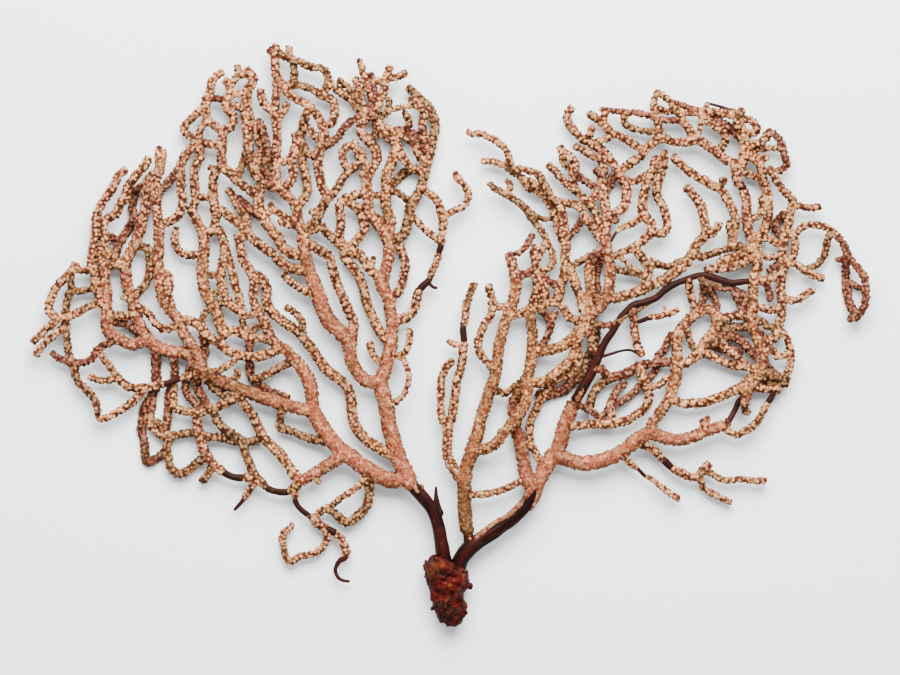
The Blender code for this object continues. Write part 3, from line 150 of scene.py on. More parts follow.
SMEAR_DARK = (0.014, 0.006, 0.003)
SPECK_PALE = (0.16, 0.040, 0.016)
SPECK_DARK = (0.008, 0.003, 0.002)
SPOT_FINISHES = [  # name, colour and strength
    ("lime", (0.11, 0.024, 0.007), 0.5),
    ("blood", (0.10, 0.005, 0.004), 0.55),
    ("yellow", (0.10, 0.062, 0.012), 0.5),
    ("burnt", (0.018, 0.005, 0.003), 0.8),
]

strands = []


def in_mm(pixels):
    """Places in the photograph as mm from the middle of the fan, right and away."""
    return (np.array(pixels) - ORIGIN_PX) * (MM_PER_PIXEL, -MM_PER_PIXEL)


def fade(x):
    """1 at 0, 0 from 1 on, smooth between."""
    x = np.clip(x, 0, 1)
    return 1 - x * x * (3 - 2 * x)


def measured(route, widths):
    """A route in the photograph and widths along it, as turns, closer points and radii in mm."""
    turns = in_mm([[float(n) for n in pair.split(",")] for pair in route.split()])
    at = np.r_[0, np.cumsum(np.hypot(*np.diff(turns, axis=0).T))]
    along = np.r_[np.arange(0, at[-1], STEP), at[-1]]
    xy = np.c_[np.interp(along, at, turns[:, 0]), np.interp(along, at, turns[:, 1])]
    radius = np.interp(along / at[-1], np.linspace(0, 1, len(widths)), widths) / 2
    return dict(turns=turns, at=at, length=at[-1], along=along, xy=xy, radius=radius)


def nearest_strand(point, name):
    """The height and radius of the strand traced so far that passes closest to a point."""
    best = None
    for other in strands:
        away = np.hypot(*(other["xy"] - point).T)
        near = int(away.argmin())
        score = away[near] + (0 if other["limb"] == name else OTHER_LIMB)
        if away[near] < JOIN_REACH and (best is None or score < best[0]):
            best = (score, other["z"][near], other["radius"][near])
    return best and best[1:]


def trace(name, tone, lift, widths, route, bare=()):
    """One strand of a limb, with its height along it and the strands that its ends meet."""
    strand = measured(route, widths)
    along, length = strand["along"], strand["length"]
    height = float(lift) - SETTLE
    z = np.full(len(along), height)
    ramp = min(JOIN_RAMP, 0.45 * length)
    met = [nearest_strand(strand["turns"][end], name) for end in (0, -1)]
    for end, other in zip((along, length - along), met):
        if other is not None:
            z = z + (other[0] - height) * fade(end / ramp)
    strand.update(limb=name, tone=tone, z=z, met=met, bare=bare, seed=len(strands))
    strands.append(strand)
    return strand


def mottle(points, size):
    """Smooth random values in space, about -1 to 1, with lumps of a size in mm."""
    x = points / size
    cell = np.floor(x).astype(np.int64)
    f = x - cell
    f = f * f * (3 - 2 * f)
    total = np.zeros(len(points))
    for corner in np.ndindex(2, 2, 2):
        at = cell + corner
        mix = (at[:, 0] * 73856093) ^ (at[:, 1] * 19349663) ^ (at[:, 2] * 83492791)
        mix = (mix ^ (mix >> 13)) * 1274126177 & 0xFFFFFFF
        value = mix / 0x7FFFFFF - 1
        total += value * np.prod(np.where(corner, f, 1 - f), axis=1)
    return total


def ring_frame(points):
    """The directions across and up from a path at each of its points."""
    forward = np.gradient(points, axis=0)
    forward /= np.linalg.norm(forward, axis=1)[:, None]
    side = np.cross(forward, (0, 0, 1))
    side /= np.linalg.norm(side, axis=1)[:, None]
    return side, np.cross(side, forward)


def pipe(points, radius, sides):
    """Points and faces of a closed pipe; radius has one value a ring, or one a point."""
    side, upward = ring_frame(points)
    rings = len(points)
    angle = np.linspace(0, 2 * np.pi, sides, endpoint=False)[None, :, None]
    out = np.broadcast_to(np.asarray(radius).reshape(rings, -1), (rings, sides))
    ring = np.cos(angle) * side[:, None] + np.sin(angle) * upward[:, None]
    verts = (points[:, None] + out[..., None] * ring).reshape(-1, 3)
    index = np.arange(rings * sides).reshape(rings, sides)
    beside = np.roll(index, -1, axis=1)
    faces = np.stack([index[1:], beside[1:], beside[:-1], index[:-1]], axis=-1)
    faces = faces.reshape(-1, 4).tolist()
    faces.append(index[0].tolist())
    faces.append(index[-1][::-1].tolist())
    return verts, faces


def joined(parts):
    """Several lots of points and faces as one."""
    starts = np.cumsum([0] + [len(verts) for verts, _ in parts])
    faces = [[corner + int(start) for corner in face]
             for (_, own), start in zip(parts, starts) for face in own]
    return np.vstack([verts for verts, _ in parts]), faces


def smoothed(verts, edges):
    """Points moved towards the middle of their neighbours, a few times."""
    count = np.bincount(edges.ravel(), minlength=len(verts))[:, None]
    first, second = edges.T
    for _ in range(SMOOTHINGS):
        total = np.stack([np.bincount(first, verts[second, axis], len(verts))
                          + np.bincount(second, verts[first, axis], len(verts))
                          for axis in range(3)], axis=1)
        verts = verts + SMOOTHING * (total / np.maximum(count, 1) - verts)
    return verts


def baked(draft):
    """The mesh of an object with its modifiers worked out."""
    return bpy.data.meshes.new_from_object(
        draft.evaluated_get(bpy.context.evaluated_depsgraph_get()))


def fused(name, parts):
    """One skin round all the parts: its mesh, and its points and normals in mm."""
    verts, faces = joined(parts)
    rough = bpy.data.meshes.new(name)
    rough.from_pydata((verts * MM).tolist(), [], faces)
    draft = bpy.data.objects.new(name, rough)
    bpy.context.scene.collection.objects.link(draft)
    skin = draft.modifiers.new("skin", "REMESH")
    skin.mode = "VOXEL"
    skin.voxel_size = GRAIN * MM
    mesh = baked(draft)
    bpy.data.objects.remove(draft)
    bpy.data.meshes.remove(rough)
    verts = np.empty(len(mesh.vertices) * 3, np.float32)
    mesh.vertices.foreach_get("co", verts)
    edges = np.empty(len(mesh.edges) * 2, np.int32)
    mesh.edges.foreach_get("vertices", edges)
    verts = smoothed(verts.reshape(-1, 3).astype(float) / MM, edges.reshape(-1, 2))
    mesh.vertices.foreach_set("co", (verts * MM).ravel())
    mesh.update()
    normals = np.empty(len(verts) * 3, np.float32)
    mesh.vertex_normals.foreach_get("vector", normals)
    return mesh, verts, normals.reshape(-1, 3).astype(float)


def marked(mesh, key, values):
    """Keeps one number for each point of a mesh, which its finish reads."""
    layer = mesh.attributes.new(key, "FLOAT", "POINT")
    layer.data.foreach_set("value", values.astype(np.float32))


for height, widths, route in FOOT_SPURS:
    trace("holdfast", None, height, widths, route)
level = FOOT_HEIGHT - SETTLE
CORE_SIDES, SPUR_SIDES, KNOB_SIDES = 20, 10, 14
middles = in_mm([((left + right) / 2, row) for row, left, right in FOOT_ROWS])
middles = np.c_[middles, np.full(len(middles), level)]
half_widths = np.array([(right - left) / 2 * MM_PER_PIXEL for _, left, right in FOOT_ROWS])
core, sides_of_foot = pipe(middles, half_widths - FOOT_EDGE, CORE_SIDES)
core[:, 2] = (core[:, 2] - level) * FOOT_FLATNESS + level
foot_parts = [(core, sides_of_foot)]
for spur in strands:
    foot_parts.append(pipe(np.c_[spur["xy"], spur["z"]], spur["radius"], SPUR_SIDES))
knob_start, knob_end = in_mm(KNOB_ENDS)
knob = np.c_[np.linspace(knob_start, knob_end, len(KNOB_RADII)),
             np.full(len(KNOB_RADII), level + KNOB_HEIGHT)]
foot_parts.append(pipe(knob, np.array(KNOB_RADII), KNOB_SIDES))
mesh, verts, normals = fused("holdfast", foot_parts)

coarse = mottle(verts, CRUST_LUMP_SIZE)
fine = mottle(verts + 31, CRUST_FLAKE_SIZE)
grit = mottle(verts + 77, CRUST_GRIT_SIZE)
flakes = np.abs(mottle(verts * CRACK_SLANT + 5, CRACK_SIZE))
cracks = np.clip(CRACK - flakes, 0, 1) / CRACK
out = CRUST_LUMP * coarse + CRUST_FLAKE * fine - CRACK_DEPTH * cracks + CRUST_GRIT * grit
moved = verts + normals * out[:, None]
moved[:, 2] = np.maximum(moved[:, 2], 0.0)
mesh.vertices.foreach_set("co", (moved * MM).astype(np.float32).ravel())
# painted shade: the crust is darkened along its cracks, mixed into the flakes' own tone
shade = np.clip(CRACK_SHADE - flakes, 0, 1) / CRACK_SHADE
marked(mesh, "flake_and_crack_shade", np.clip(0.62 + 0.45 * fine - 0.6 * shade, 0, 1))
spots = np.array(CRUST_SPOTS)
centres, reach, kind = in_mm(spots[:, :2]), spots[:, 2] * MM_PER_PIXEL, spots[:, 3]
away = np.hypot(moved[:, None, 0] - centres[:, 0], moved[:, None, 1] - centres[:, 1]) / reach
ragged = SPOT_RAGGED * mottle(verts + 12, SPOT_RAGGED_SIZE)[:, None]
near = np.clip(1.3 - away - ragged, 0, 1) * (moved[:, None, 2] > SPOTS_FROM)
for wanted, (key, _, _) in enumerate(SPOT_FINISHES):
    marked(mesh, key, near[:, kind == wanted].max(axis=1))
mesh.update()
mesh.shade_smooth()
holdfast = bpy.data.objects.new("holdfast_crust", mesh)
bpy.context.scene.collection.objects.link(holdfast)


class Wire:
    """A socket that takes part in plain arithmetic, adding the Math nodes that it needs."""

    def __init__(self, tree, socket):
        self.tree = tree
        self.socket = socket

    def math(self, operation, first, second):
        return node(self.tree, "ShaderNodeMath", {"operation": operation},
                    {0: first, 1: second})

    def __add__(self, other):
        return self.math("ADD", self, other)

    def __radd__(self, other):
        return self.math("ADD", other, self)

    def __sub__(self, other):
        return self.math("SUBTRACT", self, other)

    def __rsub__(self, other):
        return self.math("SUBTRACT", other, self)

    def __mul__(self, other):
        return self.math("MULTIPLY", self, other)

    def __rmul__(self, other):
        return self.math("MULTIPLY", other, self)

    def clamped(self):
        return node(self.tree, "ShaderNodeClamp", {}, {"Value": self})

    def above(self, level, sharpness):
        """0 up to a level, then rising to 1."""
        return ((self - level) * sharpness).clamped()

    def below(self, level, sharpness):
        """0 down to a level, then rising to 1."""
        return ((level - self) * sharpness).clamped()


def node(tree, kind, settings, values, output=0):
    """Adds a node, with its settings first, then its socket values and links."""
    made = tree.nodes.new(kind)
    for key, value in settings.items():
        setattr(made, key, value)
    for key, value in values.items():
        if isinstance(value, Wire):
            tree.links.new(value.socket, made.inputs[key])
        elif isinstance(value, tuple) and made.inputs[key].type == "RGBA":
            made.inputs[key].default_value = (*value, 1)
        else:
            made.inputs[key].default_value = value
    return Wire(tree, made.outputs[output])


def mark(tree, key, output=2):
    """What a mesh keeps under a name: a number, or its colour from output 0."""
    return node(tree, "ShaderNodeAttribute", {"attribute_name": key}, {}, output)


def place_on(tree):
    """The place of a point in the piece's own space, in metres."""
    return node(tree, "ShaderNodeTexCoord", {}, {}, 3)


def noise(place, scale, detail):
    """Fine noise, about 0.5, with so many lumps a metre."""
    return node(place.tree, "ShaderNodeTexNoise", {},
                {"Vector": place, "Scale": scale, "Detail": detail})


def mixed(share, first, second):
    """A colour between two, by a share."""
    return node(share.tree, "ShaderNodeMix", {"data_type": "RGBA"},
                {0: share, 6: first, 7: second}, 2)


def feed(shader, colour, roughness, relief, strength, depth):
    """Leads a colour, a roughness and a fine relief into a shader."""
    tree = colour.tree
    bumps = node(tree, "ShaderNodeBump", {},
                 {"Strength": strength, "Distance": depth, "Height": relief})
    for key, wire in (("Base Color", colour), ("Roughness", roughness), ("Normal", bumps)):
        tree.links.new(wire.socket, shader.inputs[key])


crust, tree, shader = new_surface("holdfast_crust", CRUST_GLOSS)
place = place_on(tree)
flake_and_crack_shade = mark(tree, "flake_and_crack_shade")
specks = noise(place, 1000.0, 4.0)
smears = noise(place, 300.0, 4.0)
# flake tone, with painted shade along the cracks
skin = mixed((flake_and_crack_shade * 1.5 - 0.40).clamped(), CRACK_SHADE_COLOUR, FLAKE_COLOUR)
skin = mixed(smears.above(0.54, 7.0) * 0.6, skin, SMEAR_WARM)
skin = mixed(smears.below(0.45, 8.0) * 0.7, skin, SMEAR_DARK)
for key, colour, strength in SPOT_FINISHES:
    spot = mark(tree, key)
    edge = (spot * 2.0 + (specks - 0.5) * 1.6).clamped()
    skin = mixed(edge * (spot * 5.0).clamped() * strength, skin, colour)
skin = mixed(specks.above(0.62, 9.0) * 0.4, skin, SPECK_PALE)
skin = mixed(specks.below(0.42, 9.0) * 0.6, skin, SPECK_DARK)
feed(shader, skin, 0.62 - specks * 0.3, specks + smears, 0.5, 0.0006)
mesh.materials.clear()
mesh.materials.append(crust)
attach(holdfast, "root")
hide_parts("holdfast")

# Left stem: the horny axis laid bare by wear, dark maroon and smooth, with one broken twig left
# as a thorn and two strips of the pink lime coat left near its top. It grows out of the
# holdfast. It is the first limb with a coat and an axis, which are made here.
BARE = (0.04, 0.007, 0.004)  # where a coat ends at the bare axis
PINK = (0.29, 0.078, 0.035)
TAN = (0.27, 0.088, 0.026)
# painted shade: the olive brown that the coat's sides and underside turn to, the more so the
# farther they face from up
UNDERSIDE_SHADE = (0.034, 0.016, 0.005)
HIGHLIGHT_PALE = (1.0, 0.80, 0.46)  # pale of the painted highlight on the cups' rims, on their upper sides only
COAT_INSET = 0.12  # mm that the skin starts inside its width, as cups and lumps stand out
COAT_STEP = 0.55  # mm between the rings of the coat
COAT_SIDES = 12
COAT_DRIFT, DRIFT_EVERY = 0.25, 6  # mm that a strand strays from its route, and how often
SWELLING, SWELLING_EVERY = 0.05, 4  # share by which its thickness varies, and mm how often
FLARE = 0.3  # share by which it is thicker where it leaves a stouter one
LUMP, LUMP_SIZE = 0.16, 2.6  # mm high and across
GRIT, GRIT_SIZE = 0.10, 1.1
COAT_KEPT = 0.60  # share of the coat's faces that are left when it is thinned out
CUP_ALONG, CUP_STRAYS = 1.85, 0.6  # mm from one cup to the next along a strand
CUP_ROUND, LANE_STRAYS = 1.75, 0.33  # mm from one lane of cups to the next
CUP_SIZES = (0.78, 1.2)
CUPS_LOST = 0.05  # share of the cups that have broken off
CUP_RADIUS = 0.94
CUP_HEIGHT = 0.88
MOUTH_RADIUS = 0.32
MOUTH_DEPTH = 0.62  # share of a cup's height
WORN_FROM, WORN_OVER = 4.0, 1.8  # mm wide, from which the top of a strand loses its cups
HIGHEST = 16.7  # mm over the table
STRIP_STOUTNESS = 1.2  # mm by which a strip counts as thicker, so that it looks as worn
AXIS_STEP = 0.5  # mm between the rings of the axis
AXIS_INTO_COAT = 2.2  # mm that the axis runs on inside the coat
AXIS_GRAIN = 0.45  # mm between the points round it
AXIS_SHRINKS, SHRINKS_OVER = 0.22, 1.2  # share by which it is thinner there, and mm over which
GROOVE, FINE_GROOVE = 0.035, 0.02  # depth of the four and the nine grooves along it, as shares
GROOVE_TWIST, TWIST_EVERY = 1.6, 16
AXIS_SWELLING, AXIS_SWELLING_EVERY = 0.05, 9
STREAK_STRETCH = 0.13  # how far the streaks are drawn out along it
COAT_GLOSS = 0.07
# painted shade in the hollows between the cups
SHADE_BETWEEN_CUPS = (0.014, 0.004, 0.002)
FLECK_PALE = (0.37, 0.175, 0.075)
FLECK_RED = (0.22, 0.036, 0.017)
BLOTCH = (0.11, 0.012, 0.006)
PIT = (0.045, 0.010, 0.005)
STAIN = (0.045, 0.020, 0.004)
GRIME = (0.009, 0.003, 0.002)
# painted shade inside the sunk mouths of the cups
MOUTH_SHADE = (0.006, 0.002, 0.001)
AXIS_GLOSS = 0.045
HORN_DARK = (0.006, 0.0025, 0.002)
HORN_RED = (0.032, 0.0035, 0.003)
HORN_THIN = (0.024, 0.009, 0.005)
PATCH_RED = (0.060, 0.010, 0.005)
PATCH_DARK = (0.010, 0.006, 0.003)
SCRATCH = (0.13, 0.045, 0.018)

lime_coat, tree, shader = new_surface("lime_coat", COAT_GLOSS)
place = place_on(tree)
tint_and_side_shade, painted_highlight = mark(tree, "tint_and_side_shade", 0), mark(tree, "painted_highlight", 0)
mouth, rise = mark(tree, "mouth"), mark(tree, "rise")
stout = ((mark(tree, "thick") - 2.0) * 1.1).clamped()
grains = noise(place, 1100.0, 3.0)
pits = node(tree, "ShaderNodeTexVoronoi", {}, {"Vector": place, "Scale": 620.0})
blotches = noise(place, 430.0, 4.0)
flecks = noise(place, 650.0, 2.0)
stains = noise(place, 45.0, 4.0)
# painted shade in the low places between the cups, less on stout limbs
painted_valley_shade = (1.48 - rise * 2.7).clamped() * (1.0 - stout * 0.72)
coat = mixed(painted_valley_shade * 0.95, tint_and_side_shade, SHADE_BETWEEN_CUPS)
# painted highlight on the tops of the cups
coat = mixed(rise.above(0.58, 2.6) * (0.82 - stout * 0.64), coat, painted_highlight)
coat = mixed(flecks.above(0.52, 8.0) * (0.15 + stout * 0.5), coat, FLECK_PALE)
coat = mixed(flecks.below(0.46, 8.0) * (0.15 + stout * 0.35), coat, FLECK_RED)
coat = mixed(blotches.above(0.53, 7.0) * 0.45, coat, BLOTCH)
# random pale blotches in the painted highlight colour
coat = mixed(blotches.below(0.455, 8.0) * (0.6 - stout * 0.3), coat, painted_highlight)
coat = mixed(pits.below(0.34, 6.0) * (0.25 + stout * 0.5), coat, PIT)
coat = mixed(stains.above(0.55, 7.0) * 0.50, coat, STAIN)
coat = mixed(grains.below(0.45, 8.0) * 0.6, coat, GRIME)
# painted shade in the sunk mouths of the cups
coat = mixed((mouth * 1.9 - 0.12).clamped() * 0.97, coat, MOUTH_SHADE)
feed(shader, coat, 0.62 + (grains - 0.5) * 0.3, grains + blotches, 0.4, 0.0004)

bare_axis, tree, shader = new_surface("bare_axis", AXIS_GLOSS)
place = place_on(tree)
streak, slender = mark(tree, "streak"), mark(tree, "slender")
patches = noise(place, 75.0, 4.0)
scratches = noise(place, 500.0, 3.0)
horn = mixed((streak * 2.2 - 0.95).clamped(), HORN_DARK, HORN_RED)
horn = mixed(slender * (0.75 - streak * 0.6), horn, HORN_THIN)
horn = mixed(patches.above(0.55, 7.0) * 0.4, horn, PATCH_RED)
horn = mixed(patches.below(0.42, 7.0) * 0.4, horn, PATCH_DARK)
horn = mixed(scratches.above(0.64, 9.0) * 0.4, horn, SCRATCH)
feed(shader, horn, 0.36 + (patches - 0.5) * 0.4, streak + scratches, 0.25, 0.0004)


def flowing(strand, step):
    """The smooth path of a strand: even points, their distance along it and along the route."""
    p = strand["turns"]
    ends = np.vstack([2 * p[0] - p[1], p, 2 * p[-1] - p[-2]])
    fine, where = [], []
    for k in range(len(p) - 1):
        a, b, c, d = ends[k:k + 4]
        t = np.linspace(0, 1, 12, endpoint=k == len(p) - 2)[:, None]
        fine.append(0.5 * (2 * b + (c - a) * t + (2 * a - 5 * b + 4 * c - d) * t ** 2
                           + (3 * b - a - 3 * c + d) * t ** 3))
        where.append(strand["at"][k] + t[:, 0] * (strand["at"][k + 1] - strand["at"][k]))
    fine, where = np.vstack(fine), np.concatenate(where)
    s = np.r_[0, np.cumsum(np.hypot(*np.diff(fine, axis=0).T))]
    even = np.linspace(0, s[-1], max(6, int(s[-1] / step) + 1))
    position = np.interp(even, s, where)
    points = np.c_[np.interp(even, s, fine[:, 0]), np.interp(even, s, fine[:, 1]),
                   np.interp(position, strand["along"], strand["z"])]
    return points, even, position


def wobble(dice, s, spacing):
    """Smooth random values along a strand, about -1 to 1, with a new one every so many mm."""
    knots = dice.uniform(-1, 1, int(s[-1] / spacing) + 3)
    x = s / spacing
    i = x.astype(int)
    f = x - i
    f = f * f * (3 - 2 * f)
    return knots[i] * (1 - f) + knots[i + 1] * f


def rounded(points, s, radius, joined_ends):
    """A stretch with round ends: drawn in where it stops, a radius longer where it joins on."""
    for turn in (0, 1):
        if joined_ends[turn]:
            reach = radius[0] * np.array([0.99, 0.9, 0.7, 0.4])
            forward = (points[0] - points[1]) / np.linalg.norm(points[0] - points[1])
            points = np.vstack([points[0] + forward * reach[:, None], points])
            s = np.r_[s[0] - reach, s]
            radius = np.r_[np.sqrt(radius[0] ** 2 - reach ** 2), radius]
        else:
            short = np.clip(1 - (s - s[0]) / np.maximum(0.9 * radius, 0.4), 0, 1)
            radius = radius * np.sqrt(np.clip(1 - short ** 2, 0.02, 1))
        points, s, radius = points[::-1], s[-1] - s[::-1], radius[::-1]
    return points, s, radius


def stretches(strand):
    """The coated and the bare stretches of a strand, as spans of its route in mm."""
    bare = [(strand["at"][first], strand["at"][last]) for first, last in strand["bare"]]
    coated, at = [], 0.0
    for lo, hi in bare:
        if lo - at > 0.5:
            coated.append((at, lo))
        at = hi
    if strand["length"] - at > 0.5:
        coated.append((at, strand["length"]))
    return coated, bare


def full_radius(strand, s, position, dice):
    """The radius of a strand along its path, wider where it leaves a thicker one."""
    radius = np.interp(position, strand["along"], strand["radius"])
    own_ends = (radius[0], radius[-1])
    for end, met, own in zip((s, s[-1] - s), strand["met"], own_ends):
        if met and met[1] > 1.12 * own:
            radius = radius + FLARE * own * np.exp(-end / (0.9 * own))
    return radius * (1 + SWELLING * wobble(dice, s, SWELLING_EVERY))


def cups_on(strand, points, s, position, radius, spans, dice):
    """The cups of the polyps: place, way that it faces, size, height and how open it is."""
    side, upward = ring_frame(points)
    thickness = 2 * radius.mean()
    worn = np.clip((thickness - WORN_FROM) / WORN_OVER, 0, 1)
    full = strand.get("fullness", 1)
    lanes = max(5, int(round(2 * np.pi * (thickness / 2) / CUP_ROUND)))
    found = []
    for centre in np.arange(0.3, s[-1], CUP_ALONG):
        for lane in range(lanes):
            place = centre + dice.uniform(-CUP_STRAYS, CUP_STRAYS)
            place = place + (CUP_ALONG / 2 if lane % 2 else 0)
            turn = (lane + dice.uniform(-LANE_STRAYS, LANE_STRAYS)) * 2 * np.pi / lanes
            turn = turn + np.sin(place / 9 + strand["seed"])
            chance = dice.random()
            size = dice.uniform(*CUP_SIZES)
            at = np.interp(place, s, position)
            if place > s[-1] or not any(lo - 0.1 <= at <= hi + 0.1 for lo, hi in spans):
                continue
            on_top = np.clip((abs(np.sin(turn)) - 0.45) / 0.35, 0, 1) * worn
            if chance < CUPS_LOST + 0.2 * on_top:
                continue
            k = min(len(s) - 1, int(round(place / s[-1] * (len(s) - 1))))
            way = np.cos(turn) * side[k] + np.sin(turn) * upward[k]
            found.append((points[k] + way * radius[k], way, size * (1 - 0.3 * on_top),
                          (1 - 0.72 * on_top) * full,
                          max(dice.uniform(0, 1.1), 1.7 * on_top) * full))
    return found


def joins_on(strand, lo, hi):
    """Whether each end of a stretch is where its strand has grown on to another."""
    return [strand["met"][0] and lo == 0, strand["met"][1] and hi == strand["length"]]


def finder(places):
    """Finds the nearest of some places."""
    tree = KDTree(len(places))
    for k, place in enumerate(places):
        tree.insert(place, k)
    tree.balance()
    return tree


def coat_of(name, own):
    """The lime coat of a limb: its strands fused, with a cup raised and sunk at each polyp."""
    parts, cups, marks = [], [], []
    for strand in own:
        dice = np.random.default_rng(1000 + strand["seed"])
        points, s, position = flowing(strand, COAT_STEP)
        drift = np.clip(np.minimum(s, s[-1] - s) / DRIFT_EVERY, 0, 1)
        points[:, 0] += COAT_DRIFT * wobble(dice, s, DRIFT_EVERY) * drift
        points[:, 1] += COAT_DRIFT * wobble(dice, s, DRIFT_EVERY) * drift
        radius = full_radius(strand, s, position, dice)
        slim = radius - COAT_INSET
        spans, _ = stretches(strand)
        for lo, hi in spans:
            within = np.flatnonzero((position >= lo - 0.01) & (position <= hi + 0.01))
            if len(within) < 4:
                continue
            path, _, wide = rounded(points[within], s[within], slim[within],
                                    joins_on(strand, lo, hi))
            parts.append(pipe(path, wide, COAT_SIDES))
        cups += cups_on(strand, points, s, position, slim, spans, dice)
        for k in range(0, len(s), 2):
            tone = np.array(strand["tone"])
            if strand["tone"] is PINK:
                slim_share = np.clip(1.25 - 0.42 * radius[k], 0, 0.75)
                tone = tone + (np.array(TAN) - tone) * slim_share
            stoutness = radius[k] + (STRIP_STOUTNESS if "fullness" in strand else 0)
            marks.append((points[k], tone, stoutness))
    if not parts:
        return None
    mesh, verts, normals = fused(name, parts)
    places, ways, sizes, heights, opened = (np.array(column) for column in zip(*cups))
    tree = finder(places)
    near = [tree.find_n(vert, 2) for vert in verts.tolist()]
    rise, raised, mouth = np.zeros((3, len(verts)))
    for turn in range(2):
        which = np.array([hits[turn][1] for hits in near])
        away = np.array([hits[turn][2] for hits in near]) / sizes[which]
        faces_it = np.clip((normals * ways[which]).sum(1) * 2.5, 0, 1)
        swell = np.clip(1 - (away / CUP_RADIUS) ** 2, 0, 1) ** 0.85 * faces_it
        rise = np.maximum(rise, swell)
        raised = np.maximum(raised, swell * heights[which])
        sunk = np.exp(-(away / MOUTH_RADIUS) ** 2) * faces_it * opened[which]
        mouth = np.maximum(mouth, sunk)
    lumps = LUMP * mottle(verts, LUMP_SIZE) + GRIT * mottle(verts + 50, GRIT_SIZE)
    out = CUP_HEIGHT * raised - MOUTH_DEPTH * np.clip(mouth, 0, 1) * raised + lumps
    moved = verts + normals * out[:, None]
    moved[:, 2] = np.clip(moved[:, 2], 0, HIGHEST)
    mesh.vertices.foreach_set("co", (moved * MM).astype(np.float32).ravel())
    places, tones, thick = (np.array(column) for column in zip(*marks))
    tree = finder(places)
    owner = np.array([tree.find(vert)[1] for vert in verts.tolist()])
    base = tones[owner]
    # Painted shade: the sides and underside are darkened towards the underside colour by how far
    # they face away from up.
    low = np.clip(0.90 - 1.1 * normals[:, 2], 0, 0.94)[:, None]
    tint_and_side_shade = base * (1 + 0.28 * mottle(verts + 9, 9)[:, None])
    tint_and_side_shade = tint_and_side_shade * (1 - low) + np.array(UNDERSIDE_SHADE) * low
    # painted highlight: a lit copy of the tint, paler still where the coat faces up
    painted_highlight = tint_and_side_shade * 1.75 + 1.25 * np.array(HIGHLIGHT_PALE) * (1 - low) * base[:, :1]
    marked(mesh, "mouth", mouth)
    marked(mesh, "rise", np.clip(rise, 0, 1))
    marked(mesh, "thick", thick[owner])
    for key, colour in (("tint_and_side_shade", tint_and_side_shade), ("painted_highlight", painted_highlight)):
        layer = mesh.attributes.new(key, "FLOAT_COLOR", "POINT")
        rgba = np.c_[np.clip(colour, 0, 1), np.ones(len(colour))]
        layer.data.foreach_set("color", rgba.astype(np.float32).ravel())
    mesh.update()
    return mesh


def axis_of(name, own):
    """The horny axis where the coat is worn off, and a little way into the coat."""
    parts, streaks, slender = [], [], []
    for strand in own:
        dice = np.random.default_rng(5000 + strand["seed"])
        points, s, position = flowing(strand, AXIS_STEP)
        radius = full_radius(strand, s, position, dice)
        for lo, hi in stretches(strand)[1]:
            within = np.flatnonzero((position >= lo - AXIS_INTO_COAT)
                                    & (position <= hi + AXIS_INTO_COAT))
            past_end = np.maximum(lo - position[within], position[within] - hi)
            slim = radius[within] * (1 - AXIS_SHRINKS * np.clip(past_end / SHRINKS_OVER, 0, 1))
            path, at, wide = rounded(points[within], s[within], slim, joins_on(strand, lo, hi))
            sides = max(12, int(2 * np.pi * wide.mean() / AXIS_GRAIN))
            angle = np.linspace(0, 2 * np.pi, sides, endpoint=False)[None, :]
            twist = GROOVE_TWIST * wobble(dice, at, TWIST_EVERY)[:, None]
            grooves = (GROOVE * np.sin(4 * angle + twist)
                       + FINE_GROOVE * np.sin(9 * angle - 2 * twist))
            swell = AXIS_SWELLING * wobble(dice, at, AXIS_SWELLING_EVERY)[:, None]
            parts.append(pipe(path, wide[:, None] * (1 + grooves + swell), sides))
            spun = np.stack(np.broadcast_arrays(
                np.cos(angle) * wide.mean(), np.sin(angle) * wide.mean(),
                STREAK_STRETCH * at[:, None]), axis=-1).reshape(-1, 3)
            slender.append(np.repeat(np.clip((2.6 - wide) / 0.8, 0, 1), sides))
            streaks.append(0.5 + 0.4 * mottle(spun + 40, 1.5) + 0.25 * mottle(spun + 7, 0.6))
    if not parts:
        return None
    verts, faces = joined(parts)
    verts[:, 2] = np.maximum(verts[:, 2], 0.0)
    mesh = bpy.data.meshes.new(name)
    mesh.from_pydata((verts * MM).tolist(), [], faces)
    for key, values in (("streak", streaks), ("slender", slender)):
        marked(mesh, key, np.clip(np.concatenate(values), 0, 1))
    return mesh


def strip_on(own, tone, widths, route):
    """A strip of the coat left on the bare axis, along its own route over the axis."""
    strip = measured(route, widths)
    axis = np.vstack([np.c_[strand["xy"], strand["z"], strand["radius"]] for strand in own])
    away = np.hypot(*(axis[None, :, :2] - strip["xy"][:, None]).T)
    under = axis[away.argmin(axis=0)]
    lift = np.sqrt(np.maximum(under[:, 3] ** 2 - away.min(axis=0) ** 2, 0))
    strip.update(tone=np.array(tone) * 0.6, z=under[:, 2] + lift - 0.4 * strip["radius"],
                 met=[None, None], bare=(), fullness=0.3, seed=len(strands) + len(route))
    return strip


def grown(name, rows, strips=()):
    """Makes a limb, coat and bare axis, in the place of its solid.

    A row is a strand: the colour of its coat, its height over the table and its widths in mm,
    its route in the photograph, and the turns of it between which it is bare. A strip has no
    height of its own.
    """
    own = [trace(name, *row) for row in rows]
    left_on = [strip_on(own, *strip) for strip in strips]
    coat, axis = coat_of(name, own + left_on), axis_of(name, own)
    for kind, mesh, surface in (("coat", coat, lime_coat), ("axis", axis, bare_axis)):
        if mesh is None:
            continue
        piece = bpy.data.objects.new(f"{name}_{kind}", mesh)
        bpy.context.scene.collection.objects.link(piece)
        if kind == "coat":
            piece.modifiers.new("thinned", "DECIMATE").ratio = COAT_KEPT
            mesh = baked(piece)
            piece.modifiers.clear()
            piece.data = mesh
        mesh.shade_smooth()
        mesh.materials.clear()
        mesh.materials.append(surface)
        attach(piece, "root")
        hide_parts(name)


